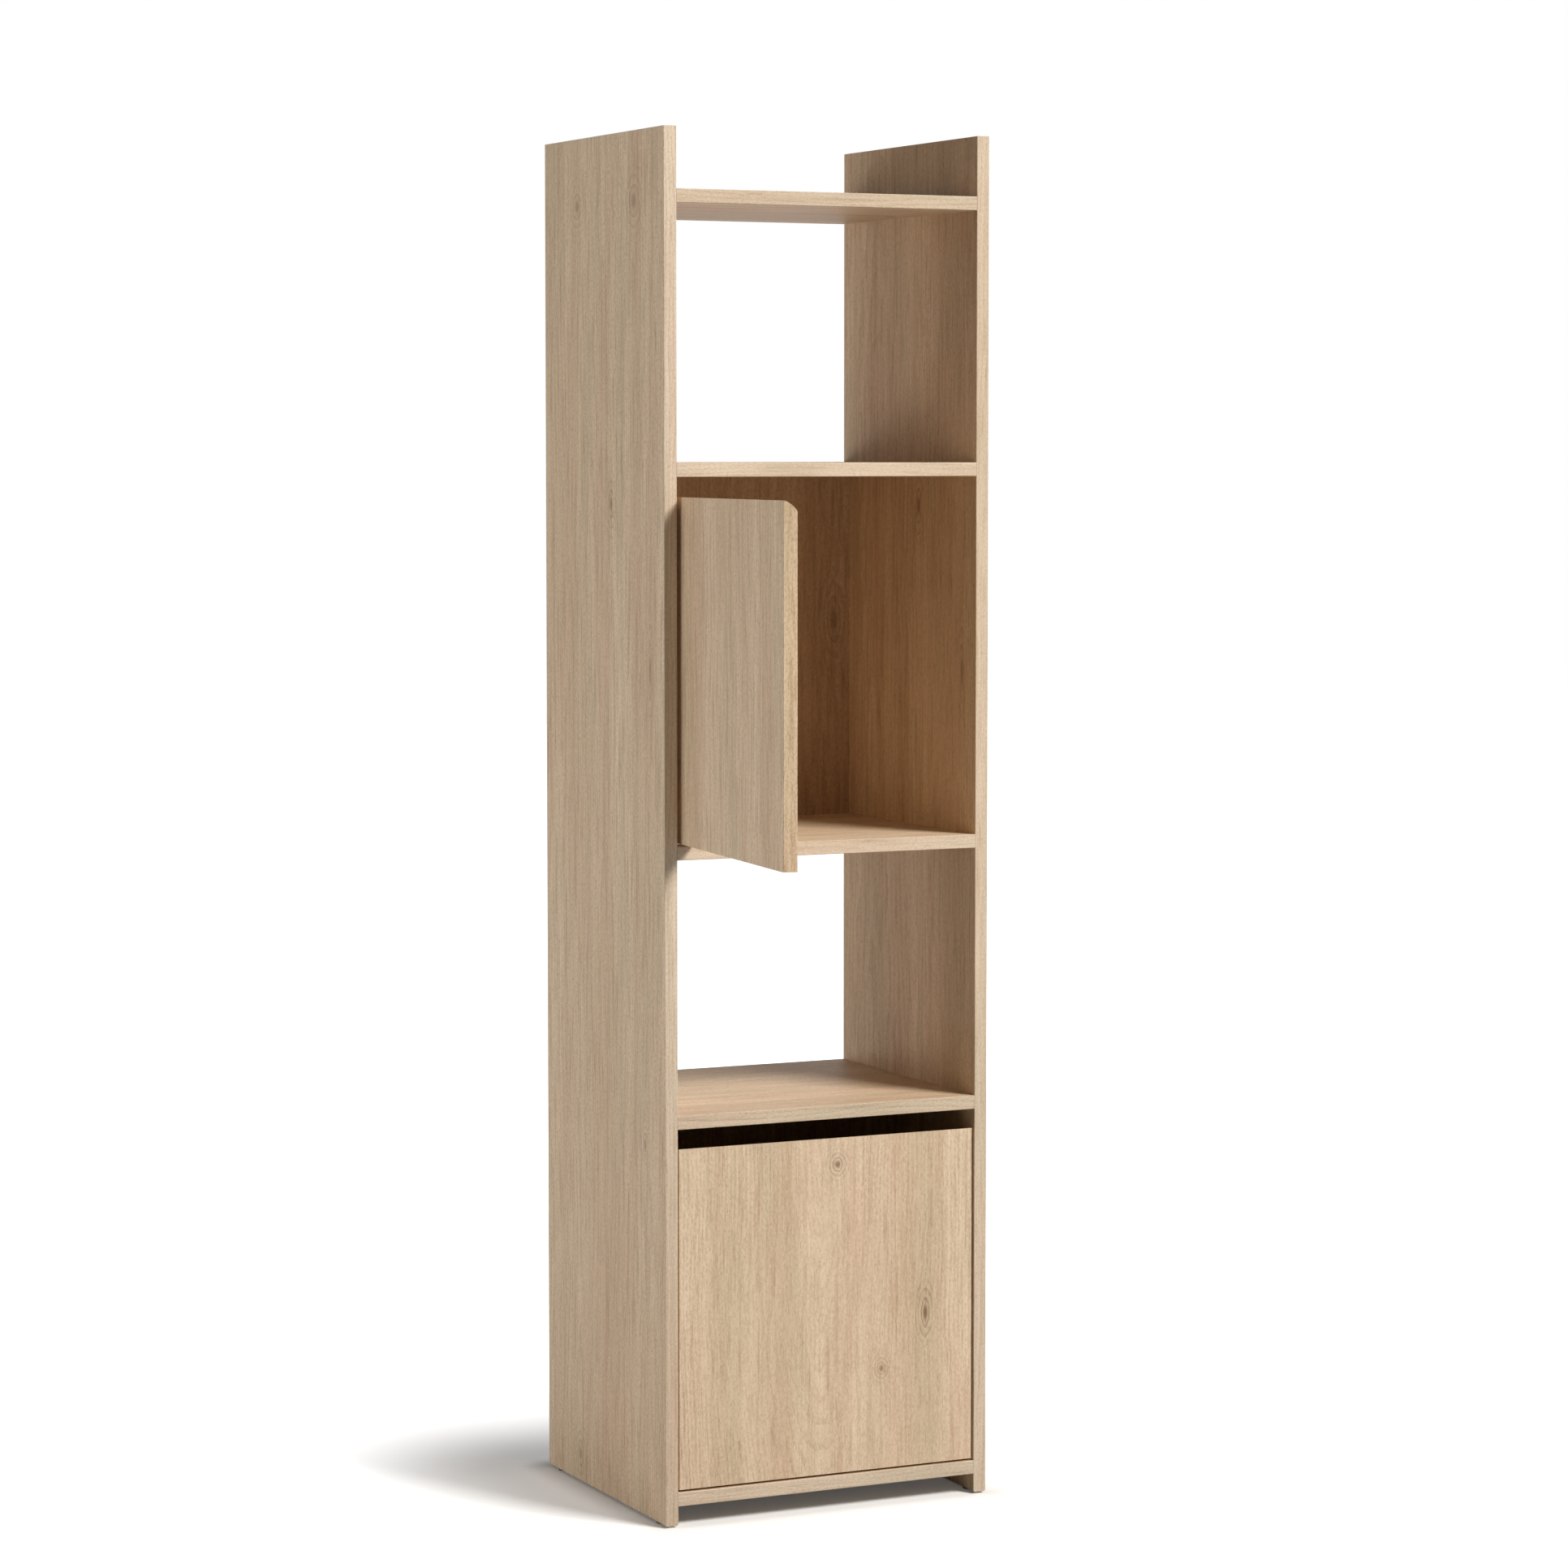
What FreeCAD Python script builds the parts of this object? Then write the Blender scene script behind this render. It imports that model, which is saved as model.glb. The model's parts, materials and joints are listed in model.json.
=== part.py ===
import FreeCAD, Part
import math
import os
import Sketcher

# Tall narrow bookcase with five fixed shelves. Two of the spaces between them are open niches,
# and two are closed by doors that swing on concealed single-pivot hinges. The upper door stands
# open against its stop, the lower one is shut. Lengths are in millimetres. The origin is on the
# floor, midway between the sides, in the plane of the front edges: X to the right, Y to the
# back, Z up.

os.makedirs("parts", exist_ok=True)
doc = FreeCAD.newDocument("bookcase")
sheet = doc.addObject("Spreadsheet::Sheet", "Sizes")
V = FreeCAD.Vector


# Sizes that carry their own formula

class Size:
    """A number together with the formula that gives it in the sheet, so that sums stay bound."""

    def __init__(self, number, formula):
        self.number = number
        self.formula = formula

    def joined(self, other, sign, result, swap=False):
        words = other.formula if isinstance(other, Size) else repr(other)
        pair = (words, self.formula) if swap else (self.formula, words)
        return Size(result, f"({pair[0]} {sign} {pair[1]})")

    def __add__(self, other):
        return self.joined(other, "+", self.number + value(other))

    def __radd__(self, other):
        return self.joined(other, "+", self.number + value(other), True)

    def __sub__(self, other):
        return self.joined(other, "-", self.number - value(other))

    def __rsub__(self, other):
        return self.joined(other, "-", value(other) - self.number, True)

    def __mul__(self, other):
        return self.joined(other, "*", self.number * value(other))

    def __rmul__(self, other):
        return self.joined(other, "*", self.number * value(other), True)

    def __truediv__(self, other):
        return self.joined(other, "/", self.number / value(other))

    def __neg__(self):
        return Size(-self.number, f"(0 - {self.formula})")


def value(size):
    """The plain number of a Size, or of a number."""
    return size.number if isinstance(size, Size) else size


def root(size):
    """The square root of a Size."""
    return Size(math.sqrt(size.number), f"sqrt({size.formula})")


rows_used = []


def size(name, number):
    """Write one driving dimension in the sheet, with its name as the cell's alias."""
    rows_used.append(name)
    cell = f"A{len(rows_used)}"
    sheet.set(cell, str(number))
    sheet.setAlias(cell, name)
    return Size(float(number), f"Sizes.{name}")


# Case
overall_height = size("overall_height", 1600)
overall_width = size("overall_width", 415)
overall_depth = size("overall_depth", 350)
board = size("board_thickness", 16)
edging = size("edging_thickness", 1)
edge_round = size("edging_round", 0.8)
foot_round = size("foot_corner_round", 2.5)
ground_clearance = size("ground_clearance", 24)
top_rise = size("side_rise_over_top_shelf", 70)
compartment = size("compartment_height", 420)
glide_height = size("glide_thickness", 2)
glide_diameter = size("glide_diameter", 14)
glide_setback = size("glide_setback", 28)

# Doors
door_thickness = size("door_thickness", 16)
door_hinge_gap = size("door_hinge_side_gap", 2.5)
door_free_gap = size("door_free_side_gap", 2)
door_bottom_gap = size("door_bottom_gap", 2.5)
finger_gap = size("finger_gap", 23)
door_recess = size("door_recess", 2.5)
bevel_land = size("bevel_land", 1.5)
bevel_drop = size("bevel_drop", 11.5)
bevel_radius = size("bevel_radius", 28)
open_angle = size("door_open_angle", 96.5)

# Hinges
hinge_end_distance = size("hinge_end_distance", 85)
pivot_inset = size("pivot_inset", 10)
pivot_sink = size("pivot_sink", 9.2)
pin_diameter = size("hinge_pin_diameter", 3)
pin_end_clearance = size("hinge_pin_end_clearance", 0.2)
running_clearance = size("running_clearance", 0.05)
cup_diameter = size("cup_diameter", 35)
cup_depth = size("cup_depth", 13.4)
cup_wall = size("cup_wall", 1)
cup_cheek_rise = size("cup_cheek_rise_over_pin", 2)
cup_slot_clearance = size("cup_slot_side_clearance", 0.3)
cup_edge_distance = size("cup_edge_distance", 4)
flange_thickness = size("flange_thickness", 1.2)
flange_rim = size("flange_rim", 1.5)
wing_width = size("flange_wing_width", 15)
cup_screw_spacing = size("cup_screw_spacing", 48)
cup_screw_offset = size("cup_screw_offset", 6)
arm_thickness = size("arm_thickness", 2)
arm_neck_width = size("arm_neck_width", 12)
arm_eye_wall = size("arm_eye_wall", 1.2)
arm_crest = size("arm_crest_height", 21.5)
arm_bend = size("arm_rear_bend_radius", 5)
arm_hook = size("arm_hook_radius", 10.5)
arm_hook_offset = size("arm_hook_offset", 5)
arm_fold = size("arm_side_fold_thickness", 1.5)
arm_fold_setback = size("arm_side_fold_setback", 4)
plate_setback = size("plate_setback", 37)
plate_thickness = size("plate_thickness", 2)
plate_wing_width = size("plate_wing_width", 13)
plate_screw_spacing = size("plate_screw_spacing", 32)
rail_height = size("plate_rail_height", 7)
rail_width = size("plate_rail_width", 11)
rail_length = size("plate_rail_length", 40)
rail_front_reach = size("plate_rail_front_reach", 9)
arm_side_clearance = size("arm_side_clearance", 0.3)

# Screws, with a head and a plain shank each
cup_screw_diameter = size("cup_screw_diameter", 3.5)
cup_screw_length = size("cup_screw_length", 12)
plate_screw_diameter = size("plate_screw_diameter", 5)
plate_screw_length = size("plate_screw_length", 12)
arm_screw_diameter = size("arm_screw_diameter", 4)
arm_screw_length = size("arm_screw_length", 8)
screw_head_share = size("screw_head_width_share", 2)
screw_head_height_share = size("screw_head_height_share", 0.5)

# Cam and dowel joints
dowel_diameter = size("dowel_diameter", 8)
dowel_length = size("dowel_length", 30)
dowel_in_side = size("dowel_depth_in_side", 11)
dowel_end_gap = size("dowel_end_clearance", 1)
dowel_margin = size("dowel_margin", 42)
cam_diameter = size("cam_diameter", 15)
cam_height = size("cam_height", 12.5)
cam_setback = size("cam_setback", 24)
cam_slot_width = size("cam_slot_width", 2)
cam_slot_depth = size("cam_slot_depth", 2)
bolt_bore = size("cam_bolt_bore", 8)
bolt_shaft = size("cam_bolt_shaft_diameter", 6)
bolt_head = size("cam_bolt_head_diameter", 7)
bolt_head_length = size("cam_bolt_head_length", 4)
bolt_neck = size("cam_bolt_neck_diameter", 4)
bolt_neck_length = size("cam_bolt_neck_length", 3)
bolt_in_side = size("cam_bolt_depth_in_side", 11)
back_dowel_margin = size("back_dowel_margin", 90)
overrun = size("cut_overrun", 1)
doc.recompute()

# Sides of the prisms that stand for small round fasteners and their bores, to keep the model light
fastener_sides = 8
pin_sides = 12
cam_sides = 12
glide_sides = 16
cup_sides = 24

# Places that follow from the sizes
half = overall_width / 2
inner_half = half - board
inner_width = overall_width - 2 * board
side_bottom = glide_height
bottom_level = ground_clearance
niche = (overall_height - ground_clearance - top_rise - 5 * board) / 2 - compartment
lower_level = bottom_level + board + compartment
middle_level = lower_level + board + niche
upper_level = middle_level + board + compartment
top_level = upper_level + board + niche
core_depth = overall_depth - 2 * edging
door_width = inner_width - door_hinge_gap - door_free_gap
door_height = compartment - door_bottom_gap - finger_gap
pivot_x = door_hinge_gap + pivot_inset - inner_half
pivot_y = door_recess + door_thickness - pivot_sink
door_face_y = pivot_sink - door_thickness
hinge_heights = [hinge_end_distance, door_height - hinge_end_distance]
door_bottoms = {"upper": middle_level + board + door_bottom_gap, "lower": bottom_level + board + door_bottom_gap}
cup_x = cup_edge_distance + cup_diameter / 2 - pivot_inset
cup_screw_x = cup_x + cup_screw_offset
plate_line = door_recess + door_thickness + plate_setback
rail_front = plate_line - rail_front_reach
# the pin stops just inside the cup's outside, where its chord is shortest
pin_chord_offset = cup_x + pin_diameter / 2
half_pin = root(cup_diameter * cup_diameter / 4 - pin_chord_offset * pin_chord_offset) - pin_end_clearance
cup_slot = arm_neck_width + 2 * cup_slot_clearance
arm_base = rail_height - door_hinge_gap - pivot_inset
case_nodes, door_nodes = {}, {}

TURNS = {
    "+z": FreeCAD.Rotation(),
    "-z": FreeCAD.Rotation(V(1, 0, 0), 180),
    "+x": FreeCAD.Rotation(V(0, 1, 0), 90),
    "-x": FreeCAD.Rotation(V(0, 1, 0), -90),
    "+y": FreeCAD.Rotation(V(1, 0, 0), -90),
    "-y": FreeCAD.Rotation(V(1, 0, 0), 90),
}


# Building blocks

def bind(thing, prop, amount):
    """Bind one property to the sheet through a size's formula."""
    if isinstance(amount, Size):
        thing.setExpression(prop, amount.formula)
    else:
        setattr(thing, prop, amount)


def place(thing, x, y, z, towards="+z"):
    """Put a thing at a bound point, with its own Z turned towards the named direction."""
    thing.Placement = FreeCAD.Placement(V(value(x), value(y), value(z)), TURNS[towards])
    for axis, amount in zip("xyz", (x, y, z)):
        if isinstance(amount, Size):
            thing.setExpression(f"Placement.Base.{axis}", amount.formula)
    return thing


def box(name, x, y, z, length, width, height):
    """A block from its low corner."""
    block = doc.addObject("Part::Box", name)
    bind(block, "Length", length)
    bind(block, "Width", width)
    bind(block, "Height", height)
    return place(block, x, y, z)


def prism(name, sides, diameter, length, x, y, z, towards="+z"):
    """A many-sided bar within a round one's diameter. It starts at a point and runs towards the named direction."""
    bar = doc.addObject("Part::Prism", name)
    bar.Polygon = sides
    bind(bar, "Circumradius", diameter / 2)
    bind(bar, "Height", length)
    return place(bar, x, y, z, towards)


def bore(name, diameter, length, x, y, z, towards="+z"):
    """The hole that a fastener fills."""
    return prism(name, fastener_sides, diameter, length, x, y, z, towards)


def cut(name, blank, tools):
    """The blank less every tool."""
    group = doc.addObject("Part::Compound", f"{name}Tools")
    group.Links = tools
    result = doc.addObject("Part::Cut", name)
    result.Base = blank
    result.Tool = group
    return result


def fused(name, pieces):
    """One solid of several overlapping pieces."""
    result = doc.addObject("Part::MultiFuse", name)
    result.Shapes = pieces
    result.Refine = True
    return result


def grouped(name, pieces):
    """Separate solids that share one node."""
    result = doc.addObject("Part::Compound", name)
    result.Links = pieces
    return result


def copy_of(master, name, x, y, z, towards="+z"):
    """A linked copy of a master piece at its own place."""
    twin = doc.addObject("App::Link", name)
    twin.LinkedObject = master
    return place(twin, x, y, z, towards)


def case_node(label, thing):
    """Keep a finished piece of the case under its own name."""
    thing.Label = label
    case_nodes[label] = thing
    return thing


def door_node(label, thing, which):
    """Keep a finished piece of a door. It was made about the pivot and is placed from there."""
    thing.Label = label
    place(thing, pivot_x, pivot_y, door_bottoms[which])
    if which == "upper":
        thing.setExpression("Placement.Rotation.Angle", (-open_angle).formula)
        thing.Placement.Rotation = FreeCAD.Rotation(V(0, 0, 1), -open_angle.number)
    door_nodes[label] = thing
    return thing


def outline(body, plane, corners, offset=0):
    """A closed sketch on one of the body's planes, drawn counterclockwise. Each corner is (across, up,
    radius), and a radius makes the stretch that leaves the corner an arc that bulges outwards."""
    sketch = body.newObject("Sketcher::SketchObject", f"{body.Name}Outline")
    base = [face for face in body.Origin.OriginFeatures if face.Role == plane][0]
    sketch.AttachmentSupport = [(base, "")]
    sketch.MapMode = "FlatFace"
    if isinstance(offset, Size):
        sketch.setExpression("AttachmentOffset.Base.z", offset.formula)
    spots = [V(value(across), value(up), 0) for across, up, _ in corners]
    for number, (_, _, radius) in enumerate(corners):
        start, end = spots[number], spots[(number + 1) % len(corners)]
        if not radius:
            sketch.addGeometry(Part.LineSegment(start, end))
            continue
        half_chord = (end - start) / 2
        inwards = V(-half_chord.y, half_chord.x, 0).normalize()
        centre = start + half_chord + inwards * math.sqrt(radius.number ** 2 - half_chord.Length ** 2)
        sketch.addGeometry(Part.Arc(start, centre - inwards * radius.number, end))
    for number, (across, up, radius) in enumerate(corners):
        before = (number - 1) % len(corners)
        sketch.addConstraint(Sketcher.Constraint("Coincident", before, 2, number, 1))
        for kind, axis, amount in (("DistanceX", -2, across), ("DistanceY", -1, up)):
            if isinstance(amount, Size):
                index = sketch.addConstraint(Sketcher.Constraint(kind, -1, 1, number, 1, amount.number))
                sketch.setExpression(f"Constraints[{index}]", amount.formula)
            else:
                sketch.addConstraint(Sketcher.Constraint("PointOnObject", number, 1, axis))
        if radius:
            index = sketch.addConstraint(Sketcher.Constraint("Radius", number, radius.number))
            sketch.setExpression(f"Constraints[{index}]", radius.formula)
    return sketch


def pad(body, sketch, length, name):
    """Raise a sketch into a solid."""
    raised = body.newObject("PartDesign::Pad", name)
    raised.Profile = sketch
    bind(raised, "Length", length)
    return raised


def round_edges(body, feature, radius, wanted, name):
    """Round the edges of a body's feature that pass the test on their end points."""
    doc.recompute()
    names = [
        f"Edge{number + 1}"
        for number, edge in enumerate(feature.Shape.Edges)
        if wanted([vertex.Point for vertex in edge.Vertexes])
    ]
    fillet = body.newObject("PartDesign::Fillet", name)
    fillet.Base = (feature, names)
    bind(fillet, "Radius", radius)
    return fillet


def strip(name, across, thickness, length, radius):
    """An edging strip along Z: its glued face on Y = 0, its outer face towards -Y, rounded along both sides."""
    body = doc.addObject("PartDesign::Body", name)
    corners = [
        (0, 0, None),
        (0, radius - thickness, radius),
        (radius, -thickness, None),
        (across - radius, -thickness, radius),
        (across, radius - thickness, None),
        (across, 0, None),
    ]
    pad(body, outline(body, "XY_Plane", corners), length, f"{name}Pad")
    return body


# Boards of the case

levels = {
    "bottom_board": bottom_level,
    "lower_shelf": lower_level,
    "middle_shelf": middle_level,
    "upper_shelf": upper_level,
    "top_shelf": top_level,
}
dowel_rows = {"Front": dowel_margin, "Rear": overall_depth - dowel_margin}
cam_row = overall_depth / 2
dowel_in_shelf = dowel_length - dowel_in_side


def shelf(label, level):
    """A shelf board: cam housings in its underside, and bolt and dowel bores in its ends."""
    name = label.title().replace("_", "")
    blank = box(f"{name}Blank", -inner_half, edging, level, inner_width, core_depth, board)
    tools = []
    for side, sign, inward in (("Left", -1, "+x"), ("Right", 1, "-x")):
        end = sign * inner_half
        cam_x = sign * (inner_half - cam_setback)
        axis_z = level + board / 2
        tools.append(prism(f"{name}{side}Housing", cam_sides, cam_diameter, cam_height, cam_x, cam_row, level))
        tools.append(bore(f"{name}{side}BoltBore", bolt_bore, cam_setback, end, cam_row, axis_z, inward))
        for row, y in dowel_rows.items():
            depth = dowel_in_shelf + dowel_end_gap
            tools.append(bore(f"{name}{side}{row}Bore", dowel_diameter, depth, end, y, axis_z, inward))
    case_node(label, cut(name, blank, tools))


def shelf_edging(label, level):
    """The strips glued along a shelf's front and rear edges. The front one is rounded along both sides."""
    name = label.title().replace("_", "")
    front = strip(f"{name}Front", board, edging, inner_width, edge_round)
    front.Placement.Rotation = FreeCAD.Rotation(V(0, 0, 1), V(0, 1, 0), V(1, 0, 0), "ZYX")
    for axis, amount in zip("xyz", (-inner_half, edging, level + board)):
        front.setExpression(f"Placement.Base.{axis}", amount.formula)
    rear = box(f"{name}Rear", -inner_half, overall_depth - edging, level, inner_width, edging, board)
    case_node(label, grouped(name, [front, rear]))


for label, level in levels.items():
    shelf(label, level)
    shelf_edging(f"{label}_edging", level)


def foot_outline(left):
    """A side board seen from the front, with the two corners at the floor rounded."""
    right = left + board
    return [
        (left, overall_height - edging, None),
        (left, side_bottom + foot_round, foot_round),
        (left + foot_round, side_bottom, None),
        (right - foot_round, side_bottom, foot_round),
        (right, side_bottom + foot_round, None),
        (right, overall_height - edging, None),
    ]


def side_slice(name, left, front, depth):
    """A slice of a side board from its front face to the back."""
    body = doc.addObject("PartDesign::Body", name)
    raised = pad(body, outline(body, "XZ_Plane", foot_outline(left), -front), depth, f"{name}Pad")
    raised.Reversed = True
    return body


def side_panel(label, sign):
    """A side board with blind holes on its inner face for bolts, dowels and, on the left, hinge plates."""
    name = label.title().replace("_", "")
    inner = sign * inner_half
    outward = "+x" if sign > 0 else "-x"
    left = inner_half if sign > 0 else -half
    blank = side_slice(f"{name}Blank", left, edging, core_depth)
    tools = []
    for board_label, level in levels.items():
        hole, axis_z = name + board_label.title().replace("_", ""), level + board / 2
        tools.append(bore(f"{hole}Bolt", bolt_shaft, bolt_in_side, inner, cam_row, axis_z, outward))
        for row, y in dowel_rows.items():
            depth = dowel_in_side + dowel_end_gap
            tools.append(bore(f"{hole}{row}", dowel_diameter, depth, inner, y, axis_z, outward))
    for which, bottom in door_bottoms.items():
        y, z = overall_depth - board / 2, bottom - door_bottom_gap + compartment / 2
        depth = dowel_in_side + dowel_end_gap
        for row, height in (("Low", z - back_dowel_margin), ("High", z + back_dowel_margin)):
            hole = f"{name}{which.title()}Back{row}"
            tools.append(bore(hole, dowel_diameter, depth, inner, y, height, outward))
        if sign < 0:
            for number, height in enumerate(hinge_heights):
                for row, step in (("Low", -1), ("High", 1)):
                    hole = f"{name}{which.title()}Plate{number}{row}"
                    z_hole = bottom + height + step * plate_screw_spacing / 2
                    depth = plate_screw_length - plate_thickness
                    tools.append(bore(hole, plate_screw_diameter, depth, inner, plate_line, z_hole, outward))
    case_node(label, cut(name, blank, tools))


def side_edging(label, sign):
    """The strips on a side board's front, rear and top edges. Front and top are rounded along both sides."""
    name = label.title().replace("_", "")
    left = inner_half if sign > 0 else -half
    long_strip = strip(f"{name}Long", board, edging, overall_height - edging, edge_round)
    place(long_strip, left, edging, 0)
    front = doc.addObject("Part::Common", f"{name}Front")
    front.Base = long_strip
    front.Tool = side_slice(f"{name}FrontEnd", left, 0, edging)
    rear = side_slice(f"{name}Rear", left, overall_depth - edging, edging)
    top = strip(f"{name}Top", board, edging, overall_depth, edge_round)
    place(top, left, 0, overall_height - edging, "+y")
    case_node(label, grouped(name, [front, rear, top]))


for label, sign in (("left_side_panel", -1), ("right_side_panel", 1)):
    side_panel(label, sign)
    side_edging(label.replace("panel", "edging"), sign)


def back_panel(label, which):
    """A back board between the sides and two shelves, flush with the rear, with dowel bores in its ends."""
    name = label.title().replace("_", "")
    bottom = door_bottoms[which] - door_bottom_gap
    blank = box(f"{name}Blank", -inner_half, overall_depth - board, bottom, inner_width, board, compartment)
    tools = []
    middle = bottom + compartment / 2
    for side, sign, inward in (("Left", -1, "+x"), ("Right", 1, "-x")):
        for row, height in (("Low", middle - back_dowel_margin), ("High", middle + back_dowel_margin)):
            depth = dowel_in_shelf + dowel_end_gap
            y = overall_depth - board / 2
            tools.append(bore(f"{name}{side}{row}", dowel_diameter, depth, sign * inner_half, y, height, inward))
    case_node(label, cut(name, blank, tools))


for which in door_bottoms:
    back_panel(f"{which}_back_panel", which)


# Cams, bolts and dowels that hold the boards together

cam_blank = prism("CamBlank", cam_sides, cam_diameter, cam_height, 0, 0, 0)
cam_mouth = bore("CamMouth", bolt_bore, cam_diameter / 2 + bolt_head / 2, bolt_head / 2, 0, board / 2, "-x")
cam_slot = box("CamSlot", -cam_diameter / 2, -cam_slot_width / 2, -overrun, cam_diameter, cam_slot_width,
               cam_slot_depth + overrun)
cam_master = cut("CamMaster", cam_blank, [cam_mouth, cam_slot])
bolt_end = cam_setback + bolt_head / 2
neck_start = bolt_end - bolt_head_length - bolt_neck_length
bolt_master = fused("BoltMaster", [
    prism("BoltShaft", fastener_sides, bolt_shaft, bolt_in_side + neck_start, -bolt_in_side, 0, 0, "+x"),
    prism("BoltNeck", fastener_sides, bolt_neck, bolt_neck_length, neck_start, 0, 0, "+x"),
    prism("BoltHead", fastener_sides, bolt_head, bolt_head_length, bolt_end - bolt_head_length, 0, 0, "+x"),
])
dowel_master = prism("DowelMaster", fastener_sides, dowel_diameter, dowel_length, 0, 0, 0)
cams, bolts, dowels = [], [], []
FACING = {"Left": FreeCAD.Rotation(), "Right": FreeCAD.Rotation(V(0, 0, 1), 180)}


def facing_copy(master, name, side, x, y, z):
    """A copy whose X points away from the named side board."""
    twin = copy_of(master, name, x, y, z)
    twin.Placement.Rotation = FACING[side]
    return twin


for label, level in levels.items():
    name = label.title().replace("_", "")
    for side, sign, inward in (("Left", -1, "+x"), ("Right", 1, "-x")):
        end, axis_z = sign * inner_half, level + board / 2
        cam_x = sign * (inner_half - cam_setback)
        cams.append(facing_copy(cam_master, f"{name}{side}Cam", side, cam_x, cam_row, level))
        bolts.append(facing_copy(bolt_master, f"{name}{side}Bolt", side, end, cam_row, axis_z))
        dowel_x = sign * (inner_half + dowel_in_side)
        for row, y in dowel_rows.items():
            dowels.append(copy_of(dowel_master, f"{name}{side}{row}Dowel", dowel_x, y, axis_z, inward))
for which, bottom in door_bottoms.items():
    middle = bottom - door_bottom_gap + compartment / 2
    for side, sign, inward in (("Left", -1, "+x"), ("Right", 1, "-x")):
        for row, height in (("Low", middle - back_dowel_margin), ("High", middle + back_dowel_margin)):
            name = f"{which.title()}Back{side}{row}Dowel"
            dowel_x, y = sign * (inner_half + dowel_in_side), overall_depth - board / 2
            dowels.append(copy_of(dowel_master, name, dowel_x, y, height, inward))
case_node("cam_locks", grouped("CamLocks", cams))
case_node("cam_bolts", grouped("CamBolts", bolts))
case_node("wood_dowels", grouped("WoodDowels", dowels))

glides = []
for side, sign in (("Left", -1), ("Right", 1)):
    for row, y in (("Front", glide_setback), ("Rear", overall_depth - glide_setback)):
        x = sign * (half - board / 2)
        glides.append(prism(f"{side}{row}Glide", glide_sides, glide_diameter, glide_height, x, y, 0))
case_node("floor_glides", grouped("FloorGlides", glides))


# Doors, made about their pivot

def door_profile():
    """A door seen from its hinge side: flat outer face, and a softly rounded bevel on top that falls
    to the inner face. Across is Y, and the outer face lies at door_face_y."""
    return [
        (door_face_y, edging, None),
        (pivot_sink, edging, None),
        (pivot_sink, door_height - bevel_drop, bevel_radius),
        (door_face_y + bevel_land, door_height, None),
        (door_face_y, door_height, None),
    ]


def door_slice(name, start, width):
    """A slice of a door across its width, with the door's profile."""
    body = doc.addObject("PartDesign::Body", name)
    pad(body, outline(body, "YZ_Plane", door_profile(), start), width, f"{name}Pad")
    return body


def door(label, which):
    """A door board with its hinge cups' bores and their screws' pilot holes."""
    name = label.title().replace("_", "")
    blank = door_slice(f"{name}Blank", edging - pivot_inset, door_width - 2 * edging)
    tools = []
    for number, height in enumerate(hinge_heights):
        tools.append(prism(f"{name}Cup{number}", cup_sides, cup_diameter, cup_depth, cup_x, pivot_sink, height, "-y"))
        for row, step in (("Low", -1), ("High", 1)):
            z = height + step * cup_screw_spacing / 2
            depth = cup_screw_length - flange_thickness
            tools.append(bore(f"{name}Pilot{number}{row}", cup_screw_diameter, depth, cup_screw_x, pivot_sink, z, "-y"))
    door_node(label, cut(name, blank, tools), which)


def door_edging(label, which):
    """The strips on a door's hinge edge, free edge and bottom edge."""
    name = label.title().replace("_", "")
    hinge_edge = door_slice(f"{name}Hinge", -pivot_inset, edging)
    free_edge = door_slice(f"{name}Free", door_width - pivot_inset - edging, edging)
    free_x, face_y = (door_width - pivot_inset).number, door_face_y.number
    round_edges(
        free_edge, free_edge.Tip, edge_round,
        lambda ends: all(abs(p.x - free_x) < 1e-6 and abs(p.y - face_y) < 1e-6 for p in ends), f"{name}FreeRound")
    bottom = box(f"{name}Bottom", -pivot_inset, door_face_y, 0, door_width, door_thickness, edging)
    door_node(label, grouped(name, [hinge_edge, free_edge, bottom]), which)


# Hinges

def hinge_cup(label, which, height):
    """A cast cup let into the door, its flange and wings on the door's inner face. The arm swings in a
    slot between two cheeks that hold the pin, and leaves through a notch in the rim."""
    name = label.title().replace("_", "")
    face = pivot_sink
    rim_diameter = cup_diameter + 2 * flange_rim
    cup = prism(f"{name}Shell", cup_sides, cup_diameter, cup_depth, cup_x, face, height, "-y")
    rim = prism(f"{name}Rim", cup_sides, rim_diameter, flange_thickness, cup_x, face, height, "+y")
    reach, corner = cup_screw_spacing / 2, wing_width / 2
    wings = box(f"{name}Wings", cup_screw_x - corner, face, height - reach, wing_width, flange_thickness,
                cup_screw_spacing)
    ends = [
        prism(f"{name}Wing{row}", pin_sides, wing_width, flange_thickness, cup_screw_x, face, z, "+y")
        for row, z in (("Low", height - reach), ("High", height + reach))
    ]
    top, floor = face + flange_thickness, face - cup_depth + cup_wall
    cheek_top = pin_diameter / 2 + cup_cheek_rise
    hollow = cup_diameter - 2 * cup_wall
    slot_length = root(hollow * hollow - cup_slot * cup_slot)
    tools = [
        prism(f"{name}Hollow", cup_sides, hollow, top - cheek_top, cup_x, top, height, "-y"),
        box(f"{name}Slot", cup_x - slot_length / 2, floor, height - cup_slot / 2, slot_length, top - floor, cup_slot),
        box(f"{name}Notch", -pivot_inset, cheek_top, height - cup_slot / 2, cup_x, top - cheek_top, cup_slot),
        prism(f"{name}PinBore", pin_sides, pin_diameter, 2 * half_pin, 0, 0, height - half_pin),
    ]
    for row, step in (("Low", -1), ("High", 1)):
        z = height + step * reach
        tools.append(bore(f"{name}Screw{row}", cup_screw_diameter, flange_thickness, cup_screw_x, face, z, "+y"))
    door_node(label, cut(name, fused(f"{name}Body", [cup, rim, wings] + ends), tools), which)


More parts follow.
